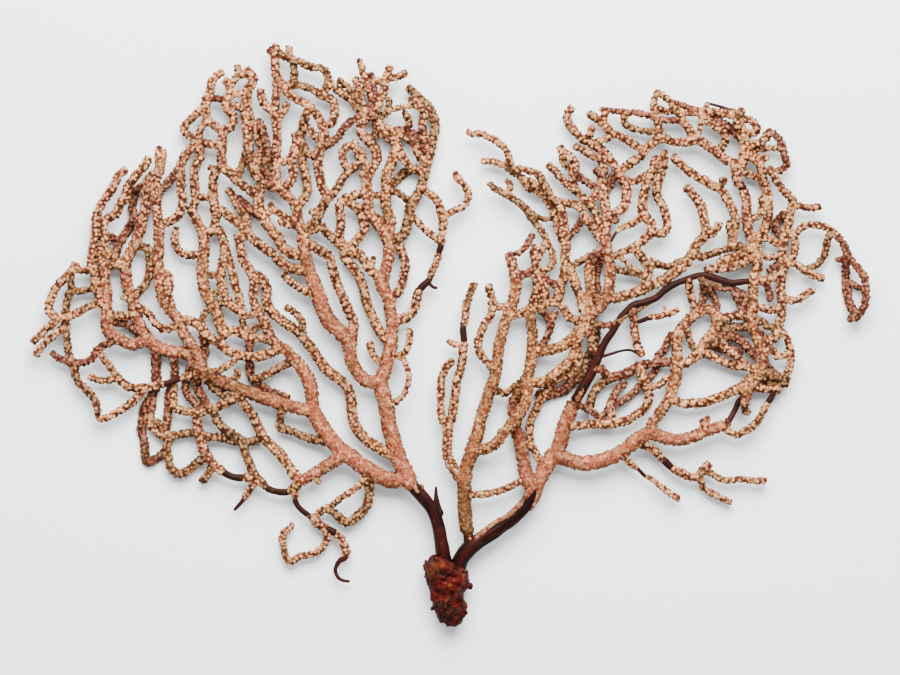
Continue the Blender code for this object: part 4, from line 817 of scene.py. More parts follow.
grown("left_stem", [
    (BARE, 9, (7.0, 6.6, 6.2, 6.4),
     "447,574 444,560 441,541 438,525 433,511 425,500 417,491 411,485", [(0, 7)]),
    (BARE, 10, (3.4, 2.7, 1.0), "439,513 437,504 436,495 436,486", [(0, 3)]),
], [
    (PINK, (3.2, 2.6, 1.4), "411,482 415,487 419,494"),
    (PINK, (3.0, 1.4), "421,484 423,490"),
])

# Left upright limb: the main leader on the left, horny axis inside a pink lime coat with rows of
# small cups, and the tan twigs that grew straight from it. It carries on from the left stem.
OLIVE = (0.15, 0.062, 0.018)
grown("left_upright_limb", [
    (PINK, 9, (7.0, 7.0, 6.4), "411,485 405,472 398,456 393,440 389,425 387,410 384,397 380,385"),
    (PINK, 9, (6.2, 5.6, 5.0, 4.8),
     "380,385 384,372 387,360 391,348 392,336 392,322 390,309 388,298 383,287 379,278"),
    (TAN, 12, (2.6, 2.2, 2.2),
     "390,405 397,401 403,395 407,388 409,378 407,368 403,360 398,356 391,354"),
    (TAN, 12, (2.4, 2.7), "398,356 404,354 408,347 410,338 410,328"),
    (TAN, 7, (2.9, 2.7), "386,364 380,361 374,357 371,350 369,341"),
    (TAN, 7, (4.0, 3.8),
     "391,345 386,340 380,332 375,322 370,310 366,300 363,287 359,276 355,270 349,264 344,256 "
     "343,248"),
    (TAN, 9, (4.3, 4.0), "383,287 379,278 373,273 367,265 361,257 351,251 343,247"),
    (TAN, 9, (2.5, 2.5), "367,265 373,263 374,256"),
    (TAN, 7, (3.6, 3.6), "390,300 396,294 401,287 403,277 405,263 402,254 400,245 399,238"),
    (PINK, 8, (3.8, 4.0, 2.6, 3.2, 3.4, 3.2),
     "392,322 398,321 405,318 412,312 416,304 418,294 421,288 429,280 432,273 437,260 439,252 "
     "441,246 441,242 443,231 443,219 441,210 438,201 430,194 421,187", [(6, 7), (10, 11)]),
    (BARE, 8, (1.6, 1.4), "428,282 433,287 438,288", [(0, 2)]),
    (TAN, 7, (4.4, 4.2, 4.0, 4.0),
     "396,456 386,452 375,446 364,438 356,427 352,413 351,400 347,387 336,377 326,369 318,358 "
     "311,348 304,339 297,331 289,326 281,320 272,312 266,303 267,293 266,284 260,277 253,274"),
    (OLIVE, 10, (3.0, 3.0), "303,338 302,330 302,322 296,314 289,309 284,307"),
    (TAN, 8, (2.8, 2.9, 2.9),
     "443,219 446,215 451,212 458,209 465,205 468,198 468,192 465,186 460,180 453,172"),
])

# Left lower limb: the pink coated bough that turns left at the foot of the upright limb, lime
# over horny axis, with the loop of thin olive and tan twigs that have grown together below it.
grown("left_lower_limb", [
    (PINK, 9, (6.6, 6.8, 6.2),
     "405,478 394,481 384,478 368,470 353,459 342,451 330,438 319,422 312,408"),
    (PINK, 8, (5.4, 4.6), "343,453 335,461 322,469 313,475 301,481 297,483"),
    (TAN, 8, (2.0, 2.0), "312,476 317,481 320,484"),
    (OLIVE, 6, (3.8, 3.6, 3.8, 3.0),
     "368,472 368,480 369,489 368,498 365,508 356,517 347,523 339,518 333,512 325,509"),
    (TAN, 10, (2.6, 2.6), "366,475 363,481 358,487 351,492 342,497 335,503 326,509"),
])

# Hanging spray: three thin coated twigs that hang from the low fork of the left lower limb. The
# longest is worn down to its dark axis in places and ends in a bare hook.
grown("hanging_spray", [
    (PINK, 6, (3.2, 2.4, 3.4, 3.4, 3.4, 1.9, 1.4),
     "297,484 295,492 295,501 299,508 306,514 313,518 316,523 321,527 328,530 334,533 339,537 "
     "344,545 347,552 345,558 340,561 337,565 335,571 338,578 343,581 350,582",
     [(2, 4), (8, 9), (13, 19)]),
    (TAN, 6, (3.0, 3.0), "326,509 320,512 315,519 316,523"),
    (TAN, 5, (2.8, 2.7),
     "327,531 326,541 322,548 316,553 307,556 298,558 290,562 285,557 283,548 282,539 284,533 "
     "289,529 294,524"),
])

# Inner bough: the thick pink bough inside the left crown, lime coat over horny axis. It forks off
# the left upright limb, and the long tan twigs that run out from it have grown into each other.
RED = (0.12, 0.026, 0.013)
grown("left_inner_bough", [
    (PINK, 9, (5.4, 5.4, 6.0), "380,383 366,381 357,372 352,362 350,350 349,340"),
    (PINK, 9, (6.6, 6.8, 6.6, 5.2, 4.4, 4.0, 4.2),
     "350,342 342,334 333,326 328,319 322,306 317,293 313,281 309,270 306,258 303,246 302,234 "
     "298,221 296,210 293,202 287,195 280,190"),
    (PINK, 8, (4.2, 3.8, 3.8),
     "351,340 354,323 349,313 343,298 337,285 333,270 330,257 323,252 315,247 304,241"),
    (TAN, 9, (3.2, 3.0), "316,294 308,292 301,289 293,284 286,277 282,272"),
    (TAN, 9, (4.0, 4.0, 3.6),
     "309,271 303,270 295,269 286,266 280,262 272,254 263,247 254,240 247,233 242,226 236,220 "
     "229,216 222,211 215,208"),
    (TAN, 9, (4.4, 4.2),
     "305,256 295,255 288,252 282,246 278,238 271,230 265,221 260,214 258,205 259,196 259,188 "
     "260,181"),
    (TAN, 11, (3.8, 3.6), "258,196 254,193 246,187 238,181 232,175 226,170 222,166"),
    (TAN, 11, (2.8, 2.8), "263,218 267,213 274,210 280,214 287,218 297,221"),
    (TAN, 11, (2.6, 2.6), "274,211 271,205 268,203"),
    (TAN, 11, (3.0, 2.8), "300,227 294,225 287,225 280,221"),
    (TAN, 6, (3.6, 3.4, 3.0), "246,233 247,224 245,216 240,210 236,203 232,195 226,188"),
    (RED, 6, (3.8, 3.6), "261,215 253,212 248,208 243,203 239,198"),
    (OLIVE, 10, (4.2, 4.0), "302,234 307,229 312,224 317,218 320,211 324,203 327,197"),
    (TAN, 10, (3.6, 3.2), "318,215 314,213 311,208"),
    (TAN, 8, (3.4, 3.4), "303,238 308,231 314,230 319,226 323,227 327,233 334,239 341,246"),
    (TAN, 10, (3.8, 3.6),
     "342,246 340,235 341,225 340,215 339,206 341,202 347,198 353,196 359,194 367,193"),
    (TAN, 7, (3.6, 3.8),
     "341,202 348,202 353,205 359,209 362,217 364,228 360,235 355,242 350,247 344,248"),
])

# Top spray: the tallest twigs of the left crown, pink, tan and olive coat over thin axis. They
# grow on from the inner bough, fork, bend back and fuse where they touch.
grown("left_top_spray", [
    (PINK, 9, (4.2, 4.0, 4.2, 4.0, 3.6),
     "280,190 270,185 261,180 254,172 251,161 249,150 247,134 246,111 247,95 249,87 254,81 250,74 "
     "245,67"),
    (PINK, 9, (3.8, 3.6, 3.6, 3.4),
     "278,189 276,179 275,167 276,156 277,140 277,128 275,117 275,105 276,94 276,82 275,70 275,59 "
     "275,50 276,43"),
    (RED, 9, (3.0, 3.2), "275,51 269,51"),
    (PINK, 9, (3.2, 3.4), "275,115 272,110 265,104 261,96 261,88"),
    (TAN, 9, (3.0, 3.4), "277,119 281,114 285,108 287,101"),
    (OLIVE, 9, (3.0, 3.2, 3.2, 3.4),
     "275,50 280,53 286,57 293,60 299,62 306,65 315,67 323,69 327,75 328,82 325,90 322,96"),
    (TAN, 8, (3.4, 3.6, 3.2), "322,95 331,99 335,106 335,114 333,121 327,125 321,126"),
    (TAN, 9, (2.9, 2.9), "291,59 289,52 289,45"),
    (OLIVE, 7, (3.2, 3.2), "293,60 294,68 294,76 292,83 285,86 278,78"),
    (OLIVE, 9, (3.0, 3.2), "286,86 296,85 305,87 313,90 321,95"),
    (PINK, 11, (4.0, 4.0, 3.8, 3.4, 3.4),
     "327,198 323,188 320,179 318,167 318,157 320,150 323,146 325,139 324,131 322,124 318,117 "
     "315,112 309,106 302,101 295,98 288,92 283,86 278,78"),
    (TAN, 7, (3.6, 3.8, 3.6),
     "309,107 307,113 304,122 302,129 300,137 300,145 302,153 302,163 305,173 307,184 307,194 "
     "302,201 297,206"),
    (PINK, 11, (3.6, 3.8),
     "281,190 286,186 291,181 294,174 292,165 293,158 295,150 297,141 294,132"),
    (TAN, 9, (2.8, 2.8), "275,165 281,163 287,161 293,157"),
    (TAN, 9, (3.0, 3.0), "304,126 310,130 316,137 323,143"),
    (TAN, 9, (3.2, 3.2), "300,143 304,147 308,153 314,156 319,154"),
    (TAN, 6, (3.4, 3.4), "247,112 253,124 258,136 262,148 258,160 254,171"),
    (RED, 11, (3.6, 3.8), "275,186 271,180 266,172 266,163 268,152 265,140 262,130 259,121"),
    (TAN, 7, (3.4, 3.0), "248,146 244,158 241,167 237,176 238,181"),
    (TAN, 9, (3.0, 2.9), "252,76 243,74 238,70 237,64"),
    (TAN, 7, (3.6, 3.4),
     "327,198 331,196 337,189 341,181 346,173 352,168 358,164 363,158 360,152 354,146 356,140"),
    (TAN, 9, (3.2, 3.2), "351,169 346,166 342,158 343,151 349,146 354,144"),
])

# Left crown: the long parallel twigs and closed loops left of the top spray, all of them coated.
# They grow on from the inner bough and have fused with the top spray where they touch it.
grown("left_crown", [
    (PINK, 9, (4.0, 3.8, 3.4, 3.2, 3.2),
     "223,166 221,157 222,148 223,140 223,134 224,128 230,127 234,120 231,113 226,108 226,102 "
     "229,96 231,92 229,86 224,78"),
    (TAN, 9, (3.0, 3.0), "230,89 232,82 236,77 240,73"),
    (TAN, 9, (3.0, 3.0), "230,94 238,94 246,95"),
    (TAN, 9, (3.0, 3.0), "226,104 230,106 236,106 241,108 246,111"),
    (RED, 8, (3.0, 3.0), "227,100 217,98 209,99 205,101"),
    (PINK, 9, (3.4, 3.4, 3.4, 2.9),
     "223,133 219,129 212,124 206,119 206,112 205,104 206,98 210,93 211,85 214,78 219,74 224,71"),
    (TAN, 7, (3.0, 3.2), "206,105 199,111 193,116 187,122 183,128 187,134 193,138 198,142"),
    (TAN, 9, (2.8, 2.8), "207,120 202,126 199,134 198,142"),
    (PINK, 9, (3.2, 3.4), "222,145 213,144 205,143 198,143"),
    (PINK, 9, (3.8, 3.8, 3.4),
     "198,143 192,147 187,153 182,161 180,169 181,180 181,191 183,201 181,210 175,218 166,223 "
     "160,226"),
    (TAN, 7, (3.8, 3.8, 3.8),
     "198,143 200,150 200,157 196,164 194,173 194,182 194,192 195,202 191,210 196,221 202,232"),
    (TAN, 9, (3.8, 3.8),
     "222,167 216,171 214,179 213,188 214,197 214,206 216,215 215,225 210,231 204,235"),
    (TAN, 9, (2.8, 2.6), "216,171 208,166"),
    (TAN, 9, (2.8, 2.8), "214,195 208,197 202,197 195,197"),
    (TAN, 8, (4.2, 5.0, 4.6, 4.4),
     "203,230 203,240 204,248 203,260 202,271 203,285 207,296 212,304 216,312 219,321 222,329 "
     "223,336"),
    (TAN, 9, (3.6, 3.8, 3.6),
     "212,231 218,229 222,236 225,249 223,257 222,266 221,274 221,282 223,290 226,298 230,305 "
     "236,309 243,315"),
    (TAN, 9, (3.6, 3.4), "224,247 228,257 230,264 233,273 235,284 238,294 240,304 243,314"),
    (OLIVE, 8, (2.8, 2.8), "203,274 212,275 221,276"),
    (OLIVE, 8, (2.8, 2.8), "206,292 215,293 223,292"),
    (OLIVE, 8, (2.8, 2.8), "212,302 219,304 227,300"),
    (OLIVE, 8, (2.8, 2.8), "218,316 210,309 204,314 202,322 201,327"),
    (TAN, 6.0, (3.0, 3.3, 3.1, 2.4), "203,255 196,255 187,255 179,251 174,243 175,234 176,226"),
])

# Upper branch: the pink coated branch from the end of the left lower limb up into the left crown.
# Tan and olive twigs grow from its sides, and its tip has fused with the crown.
grown("left_upper_branch", [
    (PINK, 9, (5.6, 5.8, 4.8, 4.2, 3.6, 3.6, 4.0, 3.6),
     "313,410 312,399 311,390 308,378 302,368 295,360 289,353 280,347 272,341 269,333 265,323 "
     "259,313 254,303 253,293 254,282 252,275 248,269 243,261 241,251 239,241 236,233"),
    (TAN, 8, (3.2, 3.2), "239,238 243,236 247,234"),
    (OLIVE, 9, (2.8, 2.8), "259,312 252,315 246,315 242,320 244,328 250,331 257,328 264,321"),
    (TAN, 9, (3.4, 3.2), "222,336 229,331 236,330 242,335 248,337 254,339 262,338 271,341"),
    (TAN, 9, (4.0, 4.0, 4.0, 3.8),
     "281,348 276,350 270,353 261,356 251,357 240,355 231,352 223,347 216,341 208,337 203,330 "
     "200,325 194,322 187,320 179,320"),
    (OLIVE, 7, (3.4, 3.4), "297,362 289,363 285,364 276,369 267,374 259,378 253,380"),
    (RED, 5, (3.2, 3.6, 3.6, 3.6),
     "249,334 249,345 249,352 250,362 250,374 254,381 259,386 266,390 275,394 290,400"),
])

# Outer limb: the long pink limb that leaves the end of the left lower limb and sweeps to the left
# edge and up. It is coated all over, with dark red and olive twigs of the lower layer under it.
grown("left_outer_limb", [
    (PINK, 9, (5.2, 5.6, 5.2, 4.8, 4.6, 4.4, 4.0, 3.8),
     "313,409 306,410 295,408 284,405 272,401 261,397 249,393 238,389 226,383 215,378 205,373 "
     "199,364 195,353 191,345 186,337 181,327 178,319 171,311 165,304 162,295 160,284 159,271 "
     "158,260 158,248 159,234 158,222 157,211 156,199 155,190 156,181 158,173 160,167 161,159 "
     "162,148"),
    (TAN, 9, (3.2, 4.4, 4.0), "160,170 160,160 159,149"),
    (PINK, 11, (4.4, 4.2), "170,307 167,294 169,283 166,273"),
    (TAN, 9, (3.2, 3.2, 3.0), "181,326 173,326 166,329 158,326 153,320 148,314 142,309 135,308"),
    (RED, 5, (3.6, 3.6), "202,333 204,342 204,353 202,361 203,371"),
    (TAN, 11, (2.6, 2.6), "205,372 212,373 219,371 226,367 232,362 238,357"),
    (TAN, 9, (3.4, 3.6, 4.0), "238,389 234,398 226,403 214,408 204,411 197,413 190,412"),
    (RED, 5, (3.6, 3.6), "198,371 196,383 199,393 204,401 208,408"),
    (OLIVE, 7, (3.4, 3.4), "205,376 211,385 218,391 226,397 231,400"),
    (RED, 5, (3.6, 3.2, 3.2), "195,357 190,368 186,378 185,390 190,399 197,406 199,412"),
    (TAN, 9, (2.8, 2.6), "226,383 233,380 238,374 236,368"),
    (OLIVE, 6, (3.2, 3.2),
     "282,405 281,414 280,421 279,427 288,430 297,434 307,438 316,440 326,442 335,446"),
    (RED, 6.0, (3.4, 3.6, 3.4), "156,199 159,192 164,186 170,180 176,172 182,162"),
])

# Edge spray: the curled twigs and wide loops of the left edge, pink and tan coated ones on top
# and dark red ones underneath. They grow from the outer limb and close on themselves.
grown("left_edge_spray", [
    (PINK, 7, (5.0, 5.4, 5.2, 4.8, 4.6, 4.4, 3.8, 3.8),
     "201,367 192,357 183,352 175,353 165,350 156,346 148,340 142,332 138,323 134,311 132,302 "
     "131,295 127,288 126,278 125,266 127,257 132,248 136,240 139,232 141,222 144,211 145,199 "
     "145,190 147,182 151,176 156,174"),
    (OLIVE, 7, (3.4, 3.4), "133,246 141,246 148,250 149,260 150,270 147,281 140,290 132,297"),
    (TAN, 9, (3.6, 3.8, 3.8, 3.4),
     "125,267 120,263 114,259 108,254 105,246 103,237 102,229 104,221 110,217 116,214 119,206 "
     "122,201 126,196 127,189 131,181 137,175 142,169 146,163 149,156"),
    (RED, 2.0, (3.6, 3.6), "140,224 134,219 127,228 121,237 117,246 115,257"),
    (RED, 2.0, (3.6, 3.4), "145,186 137,188 133,196 131,206 134,219"),
    (RED, 5, (3.0, 3.0), "103,236 111,237 119,241"),
    (PINK, 9, (4.6, 4.8, 4.6, 4.0),
     "145,339 139,343 131,345 124,342 116,338 109,332 106,323 106,315 106,305 106,294 105,283 "
     "105,271 103,263 101,255 103,247"),
    (PINK, 8, (4.0, 3.8, 3.6, 3.6, 3.4),
     "105,304 100,297 97,290 95,281 95,273 91,265 91,258 92,250 94,240 95,230 95,220 97,211 "
     "101,204 105,198 111,190 115,181 120,174 127,168"),
    (OLIVE, 8, (3.2, 3.2), "105,268 111,266 118,265 125,266"),
    (RED, 5, (3.2, 3.2), "107,322 113,323 121,323 129,326 138,333"),
    (TAN, 9, (3.2, 3.2), "106,312 114,315 123,316 134,315"),
    (TAN, 9, (1.8, 1.6), "130,299 124,298 120,297"),
    (TAN, 9, (3.4, 3.2, 3.4, 3.4, 3.2),
     "105,303 96,303 88,306 79,311 70,316 63,319 56,318 50,313 48,306 51,299 54,291 58,284 64,279 "
     "70,273 74,268 75,261"),
    (TAN, 8, (3.0, 3.0), "73,269 78,269 85,271 92,269"),
    (OLIVE, 7, (3.2, 3.2, 3.2, 3.4, 3.2, 3.0),
     "70,274 71,284 71,290 68,296 66,305 65,313 65,323 66,332 67,344 68,354 71,362 74,370 75,379 "
     "82,386 89,393 94,400 96,408 97,414 98,417", [(17, 18)]),
    (OLIVE, 6, (2.9, 2.9), "71,290 78,291 85,290 96,288"),
    (TAN, 9, (3.0, 2.8), "56,318 51,325 46,329 38,337 31,343"),
    (TAN, 9, (3.0, 2.8), "66,326 60,330 55,334 48,340 41,347 38,351 35,357"),
    (RED, 7, (3.0, 2.6), "71,362 65,361 58,358 50,351"),
    (RED, 8, (3.0, 3.2), "71,363 76,363 85,362 92,358 96,351 101,347 109,343 115,338"),
    (TAN, 7, (2.6, 2.9, 3.4, 3.4, 2.8, 3.4),
     "97,350 105,362 112,370 116,375 121,382 129,387 138,388 147,387 156,385 164,384 171,382 "
     "179,379 188,377 197,374 204,373", [(9, 11)]),
    (TAN, 7, (2.9, 2.9), "118,378 112,380 103,381 95,379 87,376"),
    (PINK, 7, (3.2, 3.2, 2.6), "144,389 139,396 131,403 121,410 112,415 104,419 98,418"),
])

# Low spray: the net of dark red, olive and tan twigs at the lower left, nearest to the table.
# They hang from the edge spray, the outer limb and the lower limb, and some are worn bare.
grown("left_low_spray", [
    (RED, 2.8, (4.2, 4.2, 3.8, 3.6, 3.6, 3.6),
     "153,344 155,350 156,361 155,370 155,381 152,394 148,401 143,410 141,420 140,430 143,439 "
     "144,449 145,459 147,464 151,461 159,456 167,450"),
    (RED, 3, (2.6, 2.6), "152,396 152,404 150,412 147,419 141,421"),
    (OLIVE, 5, (3.4, 3.4, 3.2),
     "141,417 149,420 156,423 162,427 166,432 170,436 179,434 190,433 199,433"),
    (TAN, 5, (2.8, 2.8), "150,420 150,426 155,431 160,436 168,440"),
    (OLIVE, 5, (3.2, 3.6, 3.4),
     "170,436 168,441 166,449 168,458 169,467 174,473 181,474 188,470 196,464 201,460 207,456"),
    (RED, 3, (3.4, 3.4), "174,352 173,362 174,371 172,380 169,390 168,400 167,412 166,422 165,430"),
    (TAN, 7, (3.2, 3.2), "172,384 173,391 173,400 174,408 181,411 191,412 198,413"),
    (PINK, 7, (4.0, 4.4, 4.2, 3.2, 3.8),
     "198,412 197,420 198,430 200,440 204,450 208,458 213,465 219,469 224,473 232,477 241,478 "
     "253,477", [(8, 10)]),
    (OLIVE, 6, (3.2, 3.0), "213,466 207,475 200,484"),
    (OLIVE, 5, (3.4, 3.4),
     "200,436 208,437 215,437 224,439 233,441 240,442 247,442 255,441 262,436"),
    (OLIVE, 7, (3.4, 3.6, 3.2, 3.6, 3.0, 3.8),
     "213,409 215,416 219,424 224,430 232,434 240,439 243,445 245,454 249,462 252,470 255,477 "
     "260,482 268,489 278,492 287,492 294,488 299,482", [(12, 14)]),
    (TAN, 6, (3.0, 2.4, 1.4), "257,481 250,489 246,495 243,500 238,506 233,511", [(3, 5)]),
    (TAN, 7, (3.6, 4.0, 4.4),
     "237,390 242,401 247,408 252,415 256,424 261,433 268,443 276,451 284,460 291,470 298,480"),
])

# Centre spray: the bush of short twigs at the top of the left upright limb, the densest net of
# the fan. They are coated all over and fused wherever two of them touch.
grown("left_centre_spray", [
    (PINK, 9, (4.6, 4.6, 4.4, 4.2, 4.0, 3.8),
     "382,286 384,277 386,271 388,260 389,248 387,238 383,231 377,223 371,217 368,208 368,198 "
     "367,188 366,180 369,173 374,165 377,156 376,150 372,144 366,139 362,134 361,127 364,120 "
     "368,114"),
    (TAN, 7, (4.4, 4.2, 4.0),
     "387,239 389,230 391,221 388,212 386,202 386,193 386,184 386,175 390,165 393,157 396,150 "
     "396,142 395,133 388,129 381,127 377,120"),
    (TAN, 9, (3.4, 3.4, 3.0), "367,115 372,114 377,108 379,99 383,94 385,86 386,78 388,71 391,65"),
    (RED, 9, (3.6, 3.6, 3.2), "368,113 372,106 373,98 373,86 371,78 369,72"),
    (TAN, 11, (2.8, 3.0), "386,78 390,77 396,78 402,75 408,72"),
    (TAN, 9, (2.6, 2.6), "372,80 376,81 385,81"),
    (PINK, 10, (3.2, 3.0, 2.6), "373,97 368,88 365,81 363,72 361,65 358,58"),
    (TAN, 7, (3.2, 3.4, 3.2), "367,114 362,104 360,98 359,90 357,82 354,76"),
    (OLIVE, 9, (3.2, 2.6), "366,114 359,106 356,98 351,91 344,84 337,79"),
    (TAN, 7, (3.6, 3.4), "366,116 358,108 353,100 346,95 338,90 331,84 327,81"),
    (RED, 7, (3.4, 3.2), "366,116 359,118 351,121 344,128 338,136 332,142 324,147"),
    (OLIVE, 9, (2.8, 2.6), "377,118 383,115 389,111 389,104 390,97"),
    (TAN, 11, (2.0, 2.2), "388,111 397,108 405,107 413,105 419,107"),
    (OLIVE, 6, (4.0, 4.2, 4.0, 3.8, 3.6, 3.2),
     "388,240 394,238 401,237 405,231 407,224 409,216 411,205 415,199 418,193 421,186 424,178 "
     "426,168 429,158 431,150 432,141 434,131 435,122 432,115 429,107 423,101 418,97 412,91 "
     "406,86"),
    (PINK, 9, (3.6, 3.4), "431,149 428,144 424,139 422,130 423,120 423,112 418,105 411,100"),
    (RED, 5, (3.4, 3.4), "430,153 425,149 419,140 412,133 404,130 395,132"),
    (TAN, 9, (3.2, 3.2), "428,162 419,157 416,150 413,144 407,138 401,133 396,133"),
    (TAN, 9, (3.2, 3.2), "425,171 414,169 409,165 404,159 399,150 396,144"),
    (TAN, 9, (2.9, 2.9), "403,131 409,125 408,119 404,113"),
    (TAN, 9, (3.0, 3.0), "396,146 394,144 389,139 383,134 380,127"),
    (OLIVE, 2.0, (3.8, 3.6), "386,191 392,183 397,178 404,172 412,168 420,171 425,174"),
    (TAN, 9, (2.9, 2.9), "386,192 397,192 402,195 408,200 412,205"),
    (TAN, 9, (2.9, 2.9), "368,196 376,195 386,197"),
    (TAN, 9, (2.8, 2.8), "409,216 415,219 421,226 428,232 435,237 441,243"),
    (TAN, 7, (3.2, 3.0), "366,180 363,174 366,166 363,160 358,156"),
    (RED, 5.0, (2.7, 2.6, 2.7), "372,217 378,217 383,220 389,227"),
    (RED, 5.0, (3.2, 3.2, 3.0), "374,112 375,120 377,128 375,134 370,138 364,137"),
])

# Right stem: the second bare stem, dark maroon horn, wider where the limbs fork off. It grows out
# of the holdfast beside the left one, and three strips of the pink lime coat are left on it.
grown("right_stem", [
    (BARE, 9, (7.2, 6.8, 6.8, 6.6, 6.4),
     "456,576 459,564 463,556 470,548 479,541 490,534 500,527 510,520 519,512 527,503 532,494 "
     "536,486", [(0, 11)]),
], [
    (PINK, (2.8, 2.5, 2.3, 3.0, 3.0), "474,540 488,528 498,521 508,516 517,508 524,500"),
    (PINK, (2.2, 3.6, 3.4, 2.6), "524,500 529,493 533,487 537,481"),
    (PINK, (1.6, 3.0, 3.4, 3.8), "530,511 534,503 538,495 541,484"),
])

# Right upright limb: the limb from the middle of the right stem, tan lime coat over horny axis,
# with its slender uprights and cross twigs. The dark leg beside its foot is worn bare.
grown("right_upright_limb", [
    (OLIVE, 9, (2.8, 4.2), "471.5,545 470.5,540 469,534 467.5,529"),
    (OLIVE, 9, (5.8, 5.9, 5.8), "467.5,532 466,524 465,515 464,498 465,481"),
    (TAN, 9, (5.8, 5.2, 5.0, 4.8, 4.6),
     "465,481 466,469 470,458 473,446 477,435 480,421 484,410 487,400 489,392 494,380 496,368 "
     "498,355 500,342 503,330 506,318"),
    (BARE, 9, (2.2, 2.1, 1.9), "466.5,547 465.8,541 465.3,532", [(0, 2)]),
    (TAN, 9, (4.4, 5.0, 4.6, 3.8),
     "506,319 511,308 514,298 517,285 515,275 514,269 511,260 508,252"),
    (TAN, 9, (4.8, 4.2, 3.8), "464,483 459,476 453,468 448,458 447,446 448,434 448,426"),
    (TAN, 9, (3.2, 3.2), "448,427 443,421 441,410 441,400 441,392 441,382 444,373 448,365 455,360"),
    (TAN, 9, (3.6, 3.6, 3.4, 2.9, 3.2),
     "448,427 451,420 453,409 455,398 456,386 459,374 462,362 463,351 464,341 463,328 465,316 "
     "466,305 470,294 475,282", [(8, 9)]),
    (TAN, 9, (2.2, 2.0), "462,345 453,344 447,340"),
    (TAN, 9, (3.2, 3.2, 3.4),
     "495,370 491,366 484,359 479,351 478,341 481,332 486,322 491,313 492,303 491,294 488,283"),
    (PINK, 9, (2.9, 2.9), "492,303 501,307 510,307"),
    (RED, 9, (2.2, 2.6, 2.8, 2.4), "510,254 514,254 521,252 525,247 530,240 533,233", [(0, 1)]),
    (TAN, 8, (2.8, 2.8), "465,495 473,495 482,495 491,493 501,491 510,487 518,483 525,478"),
    (TAN, 12, (4.6, 4.8, 4.8),
     "471,452 476,451 484,449 493,445 502,436 510,426 518,416 524,406 527,397 527,387 528,378"),
    (TAN, 9, (4.8, 4.6, 4.4), "527,386 528,378 530,368 532,356 532,344 532,333 531,323 530,312"),
    (TAN, 8, (3.0, 3.2), "490,389 497,391 505,393 512,390 519,384 527,377"),
    (TAN, 8, (3.6, 3.4, 3.4), "507,315 514,315 521,313 530,310 538,308 544,304 551,302 557,303"),
    (TAN, 9, (3.8, 3.6), "531,311 533,302 536,292 537,283 534,274"),
    (PINK, 10, (3.8, 3.6), "545,304 545,297 544,287 540,280"),
    (RED, 7, (3.2, 3.2), "519,276 526,274 533,271 539,274 546,279 553,284 562,287"),
    (TAN, 9, (3.0, 3.0), "536,273 535,262 540,254 544,247 547,240"),
    (TAN, 9, (2.6, 2.6), "535,262 533,254 534,246"),
    (TAN, 7, (2.7, 2.7), "536,271 544,271 552,266 553,257 551,249 547,242"),
    (RED, 6, (3.2, 3.2), "538,308 546,314 551,321 550,330 546,339 540,349"),
    (TAN, 6.0, (3.0, 3.0, 2.4), "551,321 555,316 556,310"),
])

# Right middle limb: the short dusky red limb of the lower layer, lime coat over horny axis. It
# leaves the end of the right stem and has grown on to the right upright limb.
DUSKY = (0.21, 0.050, 0.023)
grown("right_middle_limb", [
    (DUSKY, 6, (5.6, 5.4, 5.0, 4.6),
     "531,485 526,474 524,463 522,452 519,440 516,430 514,417 513,406 516,398 522,391 528,384"),
])

